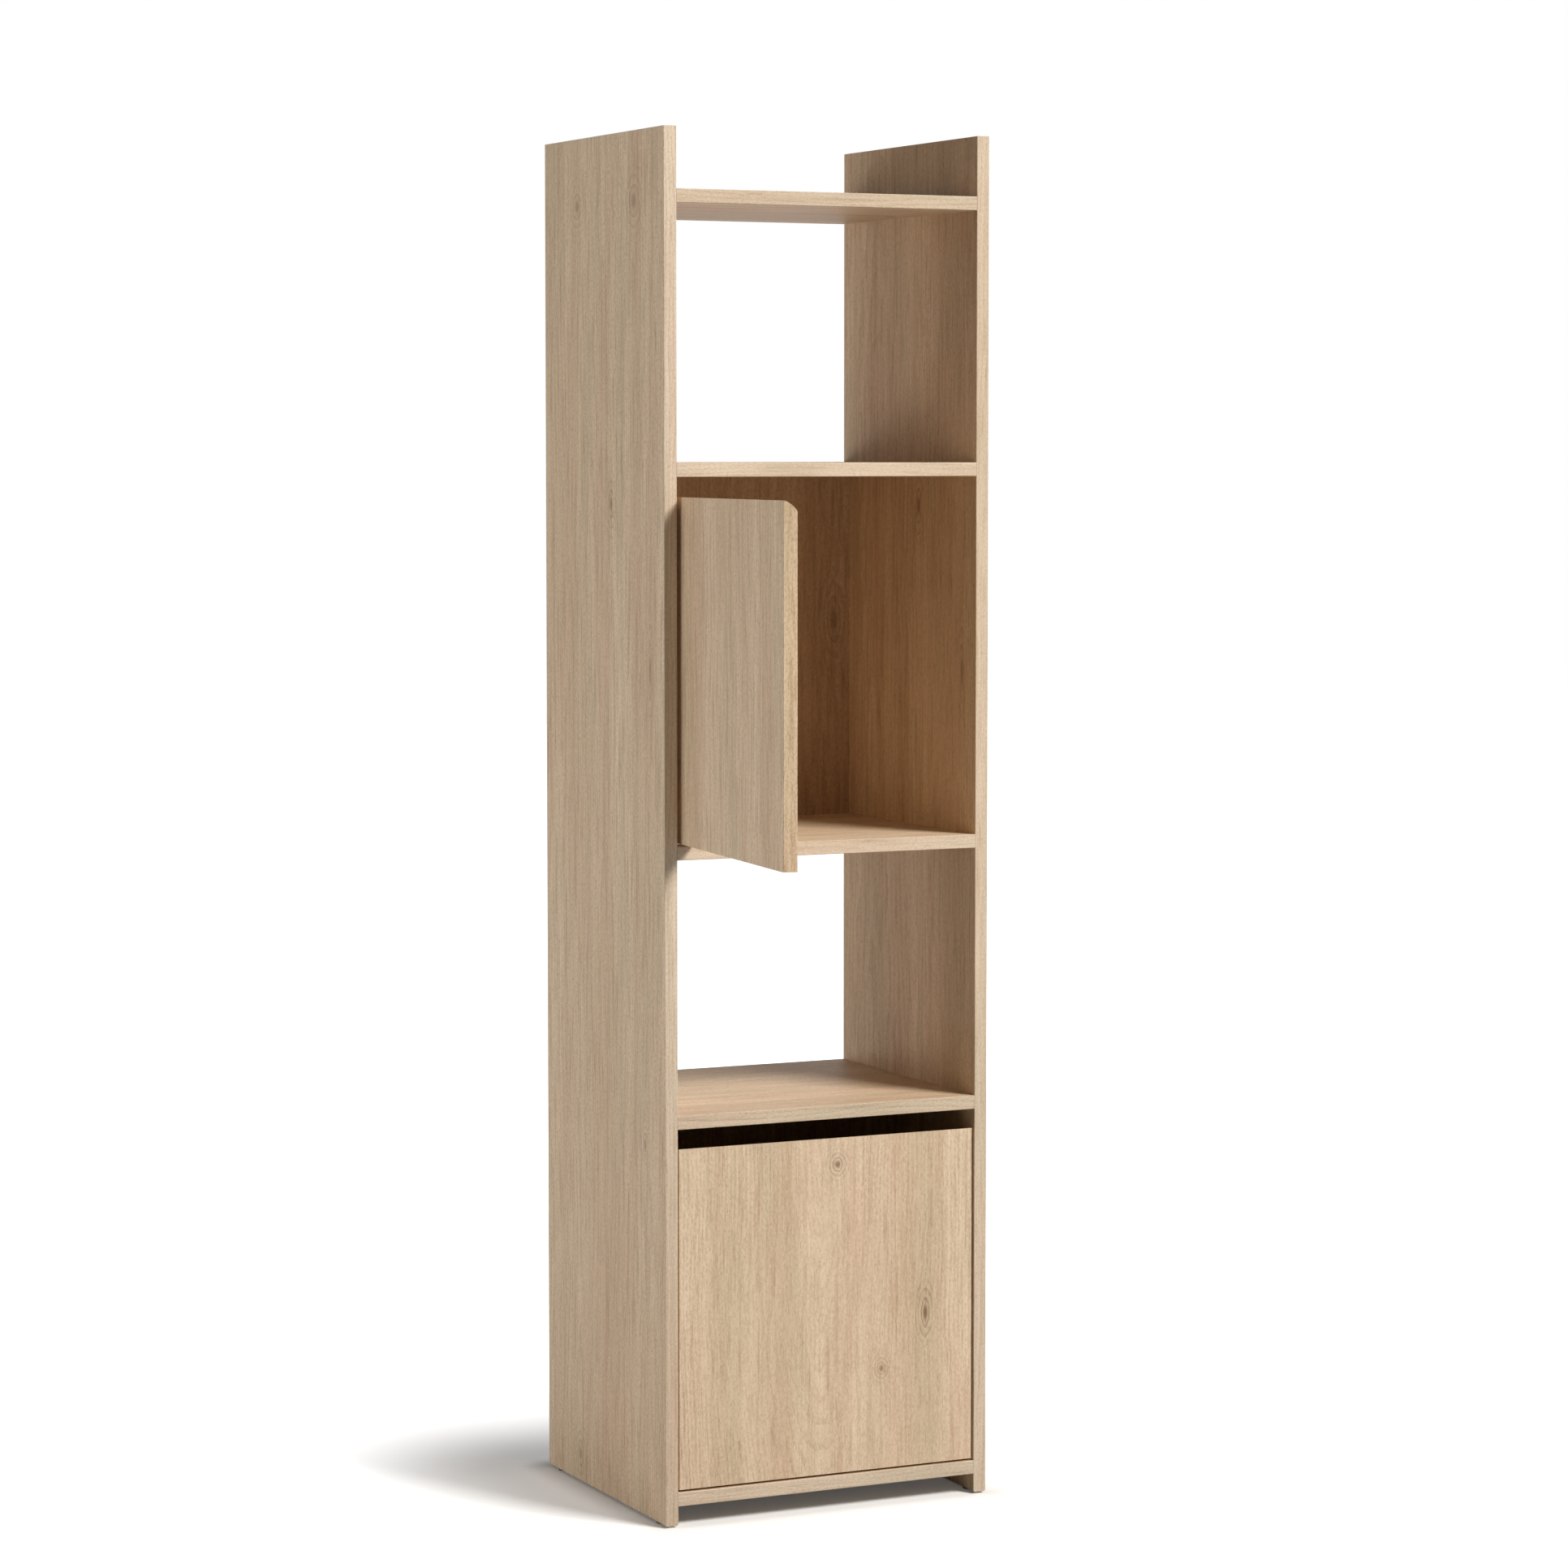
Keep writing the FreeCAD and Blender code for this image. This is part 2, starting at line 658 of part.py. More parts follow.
def hinge_pin(label, which, height):
    """The pin that the arm turns on, held at both ends in the cup's cheeks."""
    name = label.title().replace("_", "")
    pin = prism(name, pin_sides, pin_diameter, 2 * half_pin, 0, 0, height - half_pin)
    door_node(label, grouped(f"{name}Whole", [pin]), which)


def neck_shape():
    """The arm's neck about the pin, seen along the pin: back along the rail, a bend, a straight crest, a
    hook round the door's edge and down into the cup, and a last stretch to the pin on the hook's tangent."""
    half_thick = arm_thickness.number / 2
    web_x = (arm_base + arm_thickness / 2).number
    rear = (rail_front + rail_length - pivot_y).number
    crest, bend, hook = arm_crest.number, arm_bend.number, arm_hook.number
    hook_centre = V(arm_hook_offset.number, crest - hook, 0)
    bend_centre = V(web_x + bend, crest + bend, 0)
    dive = math.atan2(hook_centre.y, hook_centre.x) - math.asin(hook / hook_centre.Length)
    aside = V(math.sin(dive), -math.cos(dive), 0)
    mid_bend = V(-1, -1, 0).normalize()
    mid_hook = V(math.cos(dive / 2), math.sin(dive / 2), 0)

    def side_line(shift):
        """The outline on one side of the middle line, from the rear end to the pin."""
        inner = bend - shift
        outer = hook + shift
        start = V(web_x + shift, rear, 0)
        bend_in = bend_centre + V(-inner, 0, 0)
        bend_out = bend_centre + V(0, -inner, 0)
        hook_in = hook_centre + V(0, outer, 0)
        hook_out = hook_centre + aside * outer
        return [
            Part.LineSegment(start, bend_in).toShape(),
            Part.Arc(bend_in, bend_centre + mid_bend * inner, bend_out).toShape(),
            Part.LineSegment(bend_out, hook_in).toShape(),
            Part.Arc(hook_in, hook_centre + mid_hook * outer, hook_out).toShape(),
            Part.LineSegment(hook_out, aside * shift).toShape(),
        ]

    edges = side_line(half_thick) + side_line(-half_thick)
    edges.append(Part.LineSegment(aside * half_thick, aside * -half_thick).toShape())
    edges.append(Part.LineSegment(V(web_x - half_thick, rear, 0), V(web_x + half_thick, rear, 0)).toShape())
    across = V(0, 0, arm_neck_width.number)
    neck = Part.Face(Part.Wire(Part.__sortEdges__(edges))).extrude(across)
    neck.translate(across / -2)
    return neck


def hinge_arm(label, bottom, height):
    """The goose-neck arm: a folded channel that straddles the plate's rail, and the neck with its eye on the pin."""
    name = label.title().replace("_", "")
    neck = doc.addObject("Part::Feature", f"{name}Neck")
    neck.Shape = neck_shape()
    low = -arm_neck_width / 2
    eye = prism(f"{name}Eye", pin_sides, pin_diameter + 2 * arm_eye_wall, arm_neck_width, 0, 0, low)
    start = arm_crest + arm_bend + arm_fold_setback
    length = rail_front + rail_length - pivot_y - start
    channel_half = rail_width / 2 + arm_side_clearance + arm_fold
    drop = rail_height - plate_thickness - arm_side_clearance
    web = box(f"{name}Web", arm_base, start, -channel_half, arm_thickness, length, 2 * channel_half)
    folds = [
        box(f"{name}Fold{row}", arm_base - drop, start, z, drop, length, arm_fold)
        for row, z in (("Low", -channel_half), ("High", channel_half - arm_fold))
    ]
    # the pin's corners turn within the flats of the eye's bore
    eye_bore = (pin_diameter + 2 * running_clearance) / math.cos(math.pi / pin_sides)
    tools = [
        prism(f"{name}Bore", pin_sides, eye_bore, arm_neck_width, 0, 0, low),
        bore(f"{name}Screw", arm_screw_diameter, arm_thickness, arm_base, plate_line - pivot_y, 0, "+x"),
    ]
    arm = cut(name, fused(f"{name}Body", [neck, eye, web] + folds), tools)
    case_node(label, place(arm, pivot_x, pivot_y, bottom + height))


def hinge_plate(label, bottom, height):
    """The mounting plate: two round-ended wings screwed to the side board, and the rail that the arm straddles."""
    name = label.title().replace("_", "")
    reach, corner, middle = plate_screw_spacing / 2, plate_wing_width / 2, bottom + height
    wings = box(f"{name}Wings", -inner_half, plate_line - corner, middle - reach, plate_thickness, plate_wing_width,
                plate_screw_spacing)
    ends = [
        prism(f"{name}Wing{row}", pin_sides, plate_wing_width, plate_thickness, -inner_half, plate_line, z, "+x")
        for row, z in (("Low", middle - reach), ("High", middle + reach))
    ]
    rail = box(f"{name}Rail", -inner_half, rail_front, middle - rail_width / 2, rail_height, rail_length, rail_width)
    depth = arm_screw_length - arm_thickness
    tools = [bore(f"{name}ArmScrew", arm_screw_diameter, depth, rail_height - inner_half, plate_line, middle, "-x")]
    for row, step in (("Low", -1), ("High", 1)):
        z = middle + step * reach
        tools.append(bore(f"{name}Screw{row}", plate_screw_diameter, plate_thickness, -inner_half, plate_line, z, "+x"))
    case_node(label, cut(name, fused(f"{name}Body", [wings, rail] + ends), tools))


def screw(name, diameter, length):
    """A screw along X: its shank runs to -X from under the head, and the head stands on X = 0."""
    width, rise = diameter * screw_head_share, diameter * screw_head_height_share
    shank = prism(f"{name}Shank", fastener_sides, diameter, length, -length, 0, 0, "+x")
    head = prism(f"{name}Head", fastener_sides, width, rise, 0, 0, 0, "+x")
    return fused(name, [shank, head])


cup_screw = screw("CupScrewMaster", cup_screw_diameter, cup_screw_length)
plate_screw = screw("PlateScrewMaster", plate_screw_diameter, plate_screw_length)
arm_screw = screw("ArmScrewMaster", arm_screw_diameter, arm_screw_length)
plate_screws, arm_screws = [], []
FACE_UP = FreeCAD.Rotation(V(0, 0, 1), 90)
for which, bottom in door_bottoms.items():
    door(f"{which}_door", which)
    door_edging(f"{which}_door_edging", which)
    cup_screws = []
    for number, height in enumerate(hinge_heights):
        place_word = ("low", "high")[number]
        tag = f"{which}_door_{place_word}"
        hinge_cup(f"hinge_cup_{tag}", which, height)
        hinge_pin(f"hinge_pin_{tag}", which, height)
        hinge_arm(f"hinge_arm_{tag}", bottom, height)
        hinge_plate(f"hinge_plate_{tag}", bottom, height)
        arm_screws.append(copy_of(arm_screw, f"ArmScrew{which}{number}", rail_height + arm_thickness - inner_half,
                                  plate_line, bottom + height))
        for row, step in (("Low", -1), ("High", 1)):
            plate_z = bottom + height + step * plate_screw_spacing / 2
            plate_screws.append(copy_of(plate_screw, f"PlateScrew{which}{number}{row}",
                                        plate_thickness - inner_half, plate_line, plate_z))
            cup_z = height + step * cup_screw_spacing / 2
            piece = copy_of(cup_screw, f"CupScrew{which}{number}{row}", cup_screw_x,
                            pivot_sink + flange_thickness, cup_z)
            piece.Placement.Rotation = FACE_UP
            cup_screws.append(piece)
    door_node(f"cup_screws_{which}_door", grouped(f"CupScrews{which.title()}", cup_screws), which)
case_node("plate_screws", grouped("PlateScrews", plate_screws))
case_node("arm_screws", grouped("ArmScrews", arm_screws))

# Check every object, then write each piece
doc.recompute()
for thing in doc.Objects:
    if "Invalid" in thing.State or "Error" in thing.State:
        raise RuntimeError(f"{thing.Name} failed: {thing.State}")
for label, thing in {**case_nodes, **door_nodes}.items():
    shape = thing.Shape
    if shape.isNull() or not shape.isValid():
        raise RuntimeError(f"{label} has no valid shape")
    print(label, len(shape.Solids), round(shape.Volume))
for label, thing in {**case_nodes, **door_nodes}.items():
    thing.Shape.exportStep(f"parts/{label}.step")
print(len(case_nodes) + len(door_nodes), "pieces written")
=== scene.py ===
# %% [markdown]
# A tall, narrow bookcase made of board with a printed oak decor. Two niches are open, two
# compartments have doors without handles, and the upper door stands open. The construction is
# ready and is loaded as a fixed frame. This lesson gives it its looks: the oak decor, worked out
# from noise and plain maths, the fittings as turned and pressed metal, a pale studio, and a
# camera with a long lens.

# %% Load the frame
import json
import math
from functools import cached_property

import bpy
import numpy as np
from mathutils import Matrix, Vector


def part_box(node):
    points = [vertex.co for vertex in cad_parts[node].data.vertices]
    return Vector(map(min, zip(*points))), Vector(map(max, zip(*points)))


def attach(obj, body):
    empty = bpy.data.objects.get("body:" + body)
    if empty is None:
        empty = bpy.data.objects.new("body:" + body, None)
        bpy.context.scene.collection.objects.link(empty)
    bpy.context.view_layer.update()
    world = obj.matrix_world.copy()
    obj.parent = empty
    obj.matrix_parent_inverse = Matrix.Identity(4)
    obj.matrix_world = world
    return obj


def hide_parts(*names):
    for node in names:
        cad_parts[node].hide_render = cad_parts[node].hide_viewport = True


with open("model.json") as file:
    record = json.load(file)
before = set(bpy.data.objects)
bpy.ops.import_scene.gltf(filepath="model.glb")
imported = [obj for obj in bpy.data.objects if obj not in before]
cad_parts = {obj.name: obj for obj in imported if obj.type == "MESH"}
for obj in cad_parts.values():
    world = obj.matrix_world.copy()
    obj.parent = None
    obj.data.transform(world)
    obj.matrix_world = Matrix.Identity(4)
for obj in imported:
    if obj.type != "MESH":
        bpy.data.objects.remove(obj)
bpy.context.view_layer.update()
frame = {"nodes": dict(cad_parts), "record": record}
nodes = frame["nodes"]
scene = bpy.context.scene

# %% [markdown]
# A finish is a small network of shader nodes. Written out node by node it is long and hard to
# read, so here a value in the network is a `Signal` that can be added and multiplied like a
# number. Each operator adds one Math node. Everything else is made by `Recipe.node`, which takes
# the node's type, its settings and what goes into its sockets.

# %% Signals


class Signal:
    """A value on its way through a finish: an output socket, and the recipe that it belongs to."""

    def __init__(self, recipe, socket):
        self.recipe = recipe
        self.socket = socket

    def math(self, operation, *others):
        """One Math node, with this value in its first socket."""
        return self.recipe.node("ShaderNodeMath", [self, *others], operation=operation)

    def __add__(self, other):
        return self.math("ADD", other)

    def __sub__(self, other):
        return self.math("SUBTRACT", other)

    def __rsub__(self, other):
        return self.recipe.node("ShaderNodeMath", [other, self], operation="SUBTRACT")

    def __mul__(self, other):
        return self.math("MULTIPLY", other)

    def __pow__(self, other):
        return self.math("POWER", other)

    __radd__ = __add__
    __rmul__ = __mul__

    def ramp(self, low, high, start=0.0, end=1.0):
        """The value carried softly from low..high to start..end, and held at both ends."""
        inputs = [self, low, high, start, end]
        return self.recipe.node("ShaderNodeMapRange", inputs, interpolation_type="SMOOTHSTEP")


# %% [markdown]
# The recipe keeps the material under way. Noise is what every finish here starts from, because
# wood, plating and plastic are all uneven at some scale. Its number of features per metre differs
# along X, Y and Z, so one call gives round specks, and another one long fibres. It reads Object
# coordinates, which here are the real metres of the bookcase, so a pore has its true size on
# every board.

# %% Recipes
# The Mix node has sockets for every kind of data. These are the ones for colours.
MIX_SHARE, MIX_FIRST, MIX_SECOND, MIX_RESULT = 0, 6, 7, 2


class Recipe:
    """One finish under way: its material or world, and the one way in which nodes are added."""

    def __init__(self, name, family=bpy.data.materials, output="ShaderNodeOutputMaterial"):
        self.owner = family.new(name)
        self.owner.use_nodes = True
        self.tree = self.owner.node_tree
        self.tree.nodes.clear()
        self.output = output

    def node(self, kind, inputs=(), output=0, **settings):
        """Add a node: settings first, then values or links by socket. Gives one output."""
        made = self.tree.nodes.new(kind)
        for key, setting in settings.items():
            setattr(made, key, setting)
        pairs = inputs.items() if isinstance(inputs, dict) else enumerate(inputs)
        for key, given in pairs:
            if isinstance(given, Signal):
                self.tree.links.new(given.socket, made.inputs[key])
            else:
                made.inputs[key].default_value = given
        return Signal(self, made.outputs[output])

    @cached_property
    def place(self):
        """Object coordinates: the place of a point on the bookcase, in metres."""
        return self.node("ShaderNodeTexCoord", output="Object")

    def vector(self, operation, *inputs, output=0):
        """One Vector Math node."""
        return self.node("ShaderNodeVectorMath", inputs, output, operation=operation)

    def noise(self, per_metre, shift=(0.0, 0.0, 0.0), detail=2.0, roughness=0.5):
        """Soft noise from 0 to 1, with its features per metre along each axis, moved by a shift."""
        moved = self.vector("ADD", self.place, shift)
        inputs = {"Vector": self.vector("MULTIPLY", moved, per_metre), "Scale": 1.0,
                  "Detail": detail, "Roughness": roughness}
        return self.node("ShaderNodeTexNoise", inputs, noise_dimensions="3D")

    def blend(self, share, first, second):
        """Two colours mixed by a share. A Math node would turn them grey."""
        inputs = {MIX_SHARE: share, MIX_FIRST: first, MIX_SECOND: second}
        return self.node("ShaderNodeMix", inputs, output=MIX_RESULT, data_type="RGBA")

    def surface(self, colour, roughness, height, relief, **fixed):
        """Close the recipe with a Principled surface. Relief is the bump's depth in metres."""
        bump = self.node("ShaderNodeBump", {"Distance": relief, "Height": height})
        inputs = {"Base Color": colour, "Roughness": roughness, "Normal": bump, **fixed}
        return self.close(self.node("ShaderNodeBsdfPrincipled", inputs))

    def close(self, shader):
        """Link the last shader to the output, and give back the finished material or world."""
        end = self.tree.nodes.new(self.output)
        self.tree.links.new(shader.socket, end.inputs["Surface"])
        return self.owner


# %% [markdown]
# The decor is pale oak, printed and lacquered. Seen closely it is made of layers: broad bands
# that lean to pink or to a greenish grey, streaks a few millimetres wide, growth rings, fine
# specks that are longer along the grain, short dark pores, short pale dashes, and here and there
# a knot that the rings bend round. A picture of oak would repeat from board to board and blur in
# a close-up. Worked out from noise, every board is its own, and it stays sharp.

# %% Colours and sizes of the oak


def screen(red, green, blue):
    """A colour written as 0 to 255 on screen, as the linear colour that a shader takes.

    A share s of full brightness becomes s / 12.92 in the darks, and ((s + 0.055) / 1.055) ** 2.4
    above them.
    """
    shares = [part / 255 for part in (red, green, blue)]
    linear = [s / 12.92 if s <= 0.04045 else ((s + 0.055) / 1.055) ** 2.4 for s in shares]
    return (*linear, 1.0)


OAK_LIGHT = screen(234, 210, 180)
OAK_DARK = screen(213, 187, 156)
OAK_PINK = screen(218, 186, 157)
OAK_GREEN = screen(207, 188, 157)
OAK_LATE = screen(158, 124, 90)
OAK_PORE = screen(112, 82, 56)
OAK_KNOT = screen(104, 72, 46)
RING_WIDTH, RING_SWAY, RING_RAGGEDNESS = 0.0052, 0.045, 0.0018
KNOT_SWELLING, SWELLING_FADE, RIM_FADE = 0.011, -0.10, -0.07
OAK_RELIEF = 0.00010
LACQUER_SPECULAR = 0.22
print("growth rings are", RING_WIDTH * 1000, "mm wide")

# %% [markdown]
# Growth rings are cylinders round the pith of the tree. A board cuts them, so the ring at a point
# of the board is its distance from the pith, divided by the width of a ring. With the pith close
# behind the board and leaning, the cut shows arches. With the pith far to one side it shows
# straight lines. The Wave texture could draw such stripes too, but it can't bend them round a
# knot, so the distance is written out here.

# %% The oak decor


def oak_decor(name, grain="z", shift=(0.0, 0.0, 0.0), pith=(0.45, 0.10, 0.02), knots=(),
              tone=(1.0, 1.0, 1.0), figure=1.0):
    """Oak with its grain along one axis.

    The pith is given by its offset across the board, its depth behind it and its lean along it.
    Ring number = (distance from the pith + noise + a swelling round each knot) / ring width. Each
    knot is (x, y, z, half width, half length, darkness), in metres: a dark heart, with fine rings
    round it that fade with exp(rim fade * reach * reach). Figure is the strength of the streaks,
    cracks and specks. Tone multiplies the finished colour.
    """
    recipe = Recipe(name)

    def along_grain(across, along):
        return (along, across, across) if grain == "x" else (across, across, along)

    def stretched(across, along, **more):
        return recipe.noise(along_grain(across, along), shift, **more)

    bands = stretched(22.0, 0.8)
    tints = stretched(20.0, 2.4, detail=3.0)
    streaks = stretched(170.0, 10.0, detail=3.0, roughness=0.62)
    cracks = stretched(250.0, 15.0, detail=2.0, roughness=0.6)
    specks = stretched(640.0, 260.0, detail=3.0, roughness=0.75)
    pores = stretched(1400.0, 150.0, detail=1.0)
    sway = stretched(9.0, 2.2, detail=3.0)

    x, y, z = (recipe.node("ShaderNodeSeparateXYZ", [recipe.place], axis) for axis in range(3))
    across, along = (y + z, x) if grain == "x" else (x + y, z)
    offset, depth, lean = pith
    behind = along * lean + depth
    aside = across - offset
    distance = (aside * aside + behind * behind) ** 0.5
    distance = distance + sway * RING_SWAY + streaks * RING_RAGGEDNESS
    heart = halo = None
    for *middle, half_width, half_length, darkness in knots:
        away = recipe.vector("SUBTRACT", recipe.place, tuple(middle))
        away = recipe.vector("DIVIDE", away, along_grain(half_width, half_length))
        reach = recipe.vector("LENGTH", away, output="Value")
        distance = distance + (reach * reach * SWELLING_FADE).math("EXPONENT") * KNOT_SWELLING
        core = (reach + streaks * 1.2).ramp(0.8, 2.3, darkness, 0.0)
        fade = (reach * reach * RIM_FADE).math("EXPONENT") * darkness
        rim = (((reach + streaks * 1.2) * 0.75).math("FRACT") ** 3.0) * fade
        heart = core if heart is None else heart.math("MAXIMUM", core)
        halo = rim if halo is None else halo.math("MAXIMUM", rim)

    ring = (distance * (1 / RING_WIDTH)).math("FRACT")
    late_wood = (ring ** 3.0) * ring.ramp(0.90, 1.0, 1.0, 0.0)
    late_wood = late_wood * specks.ramp(0.3, 0.6, 0.3, 1.0) * sway.ramp(0.3, 0.6)
    dashes = pores.ramp(0.58, 0.70) * (late_wood * 0.7 + 0.3)

    colour = recipe.blend(bands.ramp(0.3, 0.7), OAK_LIGHT, OAK_DARK)
    colour = recipe.blend(tints.ramp(0.50, 0.68) * 0.6, colour, OAK_PINK)
    colour = recipe.blend(tints.ramp(0.32, 0.50, 0.6, 0.0), colour, OAK_GREEN)
    colour = recipe.blend(streaks.ramp(0.42, 0.75) * (0.32 * figure), colour, OAK_LATE)
    colour = recipe.blend(late_wood * 0.46, colour, OAK_LATE)
    colour = recipe.blend(cracks.ramp(0.58, 0.72) * (0.32 * figure), colour, OAK_LATE)
    colour = recipe.blend(specks.ramp(0.40, 0.68) * (0.32 * figure), colour, OAK_LATE)
    colour = recipe.blend(pores.ramp(0.30, 0.42, 0.30, 0.0), colour, OAK_LIGHT)
    colour = recipe.blend(dashes * 0.30, colour, OAK_PORE)
    if knots:
        colour = recipe.blend(halo.math("MAXIMUM", heart), colour, OAK_KNOT)
    colour = recipe.vector("MULTIPLY", colour, tone)
    roughness = specks * 0.12 + dashes * 0.15 + 0.46
    height = specks * 0.5 - dashes * 0.9 + streaks * 0.3
    fixed = {"Specular IOR Level": LACQUER_SPECULAR}
    return recipe.surface(colour, roughness, height, OAK_RELIEF, **fixed)


# %% [markdown]
# Every board is cut from its own place in the wood, so no two boards repeat. The knots sit where
# the real boards show them. Tone multiplies a board's colour. On the edging it is cooler, a painted
# sheen; on the right side and the backs it is darker, painted shade inside the compartments; on the
# lower door it is lighter, painted light. Figure is raised where a board is seen at a slant, which
# blurs fine streaks.

# %% Boards and their knots
LEFT_KNOTS = [
    (-0.2075, 0.251, 1.521, 0.0060, 0.0075, 0.48),
    (-0.2075, 0.084, 1.520, 0.0070, 0.0090, 0.48),
    (-0.2075, 0.152, 1.173, 0.0042, 0.0085, 0.60),
    (-0.2075, 0.040, 0.984, 0.0024, 0.0160, 0.55),
    (-0.2075, 0.057, 0.436, 0.0032, 0.0065, 0.50),
    (-0.2075, 0.251, 0.036, 0.0045, 0.0080, 0.50),
]
RIGHT_KNOTS = [
    (0.1915, 0.147, 1.169, 0.0040, 0.0100, 0.60),
    (0.1915, 0.035, 0.975, 0.0035, 0.0160, 0.50),
]
LOWER_DOOR_KNOTS = [
    (0.013, 0.0025, 0.406, 0.0034, 0.0042, 0.75),
    (0.128, 0.0025, 0.223, 0.0029, 0.0085, 0.80),
    (0.070, 0.0025, 0.161, 0.0028, 0.0038, 0.60),
]
BACK_KNOTS = [(0.170, 0.334, 1.026, 0.0045, 0.0140, 0.55)]
# The edging's cooler tone is a painted sheen on the edges.
EDGE_SHEEN_TONE = (0.96, 1.01, 1.09)
SHELF_PITH = (0.9, 0.2, 0.01)

left_oak = oak_decor("oak_left_side", knots=LEFT_KNOTS, tone=(1.025, 1.02, 1.0), figure=1.45)
# The right side's darker tone is painted shade on its inner faces.
right_oak = oak_decor("oak_right_side", shift=(1.7, 0.4, 0.9), knots=RIGHT_KNOTS,
                      tone=(0.95, 0.93, 0.90), figure=1.3)
shelf_oak = oak_decor("oak_shelf", grain="x", shift=(0.3, 2.2, 0.1), pith=SHELF_PITH, figure=1.2)
# The back's dark tone is painted shade inside the compartments.
back_oak = oak_decor("oak_back", shift=(2.9, 1.1, 0.2), knots=BACK_KNOTS,
                     tone=(0.76, 0.65, 0.53), figure=1.2)
upper_door_oak = oak_decor("oak_upper_door", shift=(0.6, 3.3, 1.9), pith=(-0.62, 0.15, 0.02),
                           tone=(1.03, 1.015, 0.98), figure=1.45)
# The lower door's lighter tone is painted light on its front.
lower_door_oak = oak_decor("oak_lower_door", shift=(4.2, 0.7, 2.4), pith=(-0.01, 0.068, -0.13),
                           knots=LOWER_DOOR_KNOTS, tone=(1.02, 1.025, 1.05))
side_edge_oak = oak_decor("oak_side_edging", shift=(3.8, 4.1, 0.5), tone=EDGE_SHEEN_TONE)
shelf_edge_oak = oak_decor("oak_shelf_edging", grain="x", shift=(5.2, 0.8, 3.7), pith=SHELF_PITH,
                           tone=EDGE_SHEEN_TONE)
print("the last board finish is", shelf_edge_oak.name)

# %% [markdown]
# The fittings are plain: nickel-plated hinge parts, zinc-plated screws and bolts, cast zinc cams,
# raw beech dowels and dark plastic glides. None is one flat colour. Plating has faint streaks
# from pressing and dull patches from handling, castings are grainy, and plastic is finely
# pebbled. The metals differ only in colour, dullness and grain, so one function makes all four.

# %% The fittings' finishes


def worn_metal(name, light, dark, dullness, grain, relief):
    """Plated or cast metal: fine grain, in features per metre on each axis, and dull patches."""
    recipe = Recipe(name)
    patches = recipe.noise((70.0, 70.0, 70.0), detail=3.0)
    streaks = recipe.noise(grain, detail=3.0, roughness=0.7)
    colour = recipe.blend(streaks.ramp(0.35, 0.7), light, dark)
    roughness = streaks * 0.14 + patches.ramp(0.45, 0.7) * 0.12 + dullness
    return recipe.surface(colour, roughness, streaks + patches * 0.4, relief, Metallic=1.0)


def beech_wood(name):
    """Pressed beech: pale pinkish brown, with the short dark flecks of its rays."""
    recipe = Recipe(name)
    flecks = recipe.noise((420.0, 2200.0, 2200.0))
    fibre = recipe.noise((60.0, 1400.0, 1400.0))
    colour = recipe.blend(fibre.ramp(0.35, 0.7), screen(214, 180, 144), screen(190, 150, 112))
    colour = recipe.blend(flecks.ramp(0.6, 0.72) * 0.6, colour, screen(140, 96, 64))
    return recipe.surface(colour, fibre * 0.1 + 0.62, fibre - flecks * 0.5, relief=0.00008)


def pebbled_plastic(name, dark, light):
    """Moulded plastic with a fine pebbled skin that is a little shinier on its high spots."""
    recipe = Recipe(name)
    pebbles = recipe.noise((2600.0, 2600.0, 2600.0), detail=1.0)
    patches = recipe.noise((90.0, 90.0, 90.0), detail=3.0)
    colour = recipe.blend(patches.ramp(0.3, 0.7), dark, light)
    return recipe.surface(colour, 0.62 - pebbles * 0.2, pebbles, relief=0.00005)


nickel = worn_metal("hinge_nickel", screen(214, 211, 205), screen(186, 182, 174),
                    dullness=0.20, grain=(900.0, 160.0, 900.0), relief=0.00002)
pin_steel = worn_metal("pin_steel", screen(190, 190, 190), screen(140, 140, 140),
                       dullness=0.18, grain=(400.0, 400.0, 2000.0), relief=0.00001)
zinc_plate = worn_metal("screw_steel", screen(204, 205, 204), screen(168, 170, 166),
                        dullness=0.26, grain=(1100.0, 1100.0, 1100.0), relief=0.00002)
cast_zinc = worn_metal("cam_zinc", screen(158, 160, 164), screen(120, 122, 126),
                       dullness=0.42, grain=(1500.0, 1500.0, 1500.0), relief=0.00005)
beech = beech_wood("beech")
glide_plastic = pebbled_plastic("glide_plastic", screen(58, 44, 34), screen(74, 58, 46))
print("the fittings' metals:", nickel.name, pin_steel.name, zinc_plate.name, cast_zinc.name)

# %% [markdown]
# A node of the frame keeps its shape. It only gets a finish in its material slots. That could be
# done piece by piece, but two tables and a loop show at a glance which board has which wood. The
# finish is chosen by the node's own name where pieces differ, and otherwise by the slot in the
# record.

# %% Give every node its finish
FINISH_OF_NODE = {
    "left_side_panel": left_oak,
    "right_side_panel": right_oak,
    "left_side_edging": side_edge_oak,
    "right_side_edging": side_edge_oak,
    "upper_door": upper_door_oak,
    "upper_door_edging": upper_door_oak,
    "lower_door": lower_door_oak,
    "lower_door_edging": lower_door_oak,
}
FINISH_OF_SLOT = {
    "oak_decor_shelf": shelf_oak,
    "oak_decor_back": back_oak,
    "oak_edging": shelf_edge_oak,
    "hinge_nickel": nickel,
    "pin_steel": pin_steel,
    "screw_steel": zinc_plate,
    "cam_zinc": cast_zinc,
    "beech": beech,
    "glide_plastic": glide_plastic,
}


def dress(node, finish):
    """Put one finish in all of a node's material slots."""
    if not node.material_slots:
        node.data.materials.append(finish)
    for slot in node.material_slots:
        slot.material = finish


slot_of_node = {part["node"]: part["material_slot"] for part in frame["record"]["subparts"]}
for label, slot in slot_of_node.items():
    dress(nodes[label], FINISH_OF_NODE.get(label) or FINISH_OF_SLOT[slot])
print(len(slot_of_node), "nodes dressed")

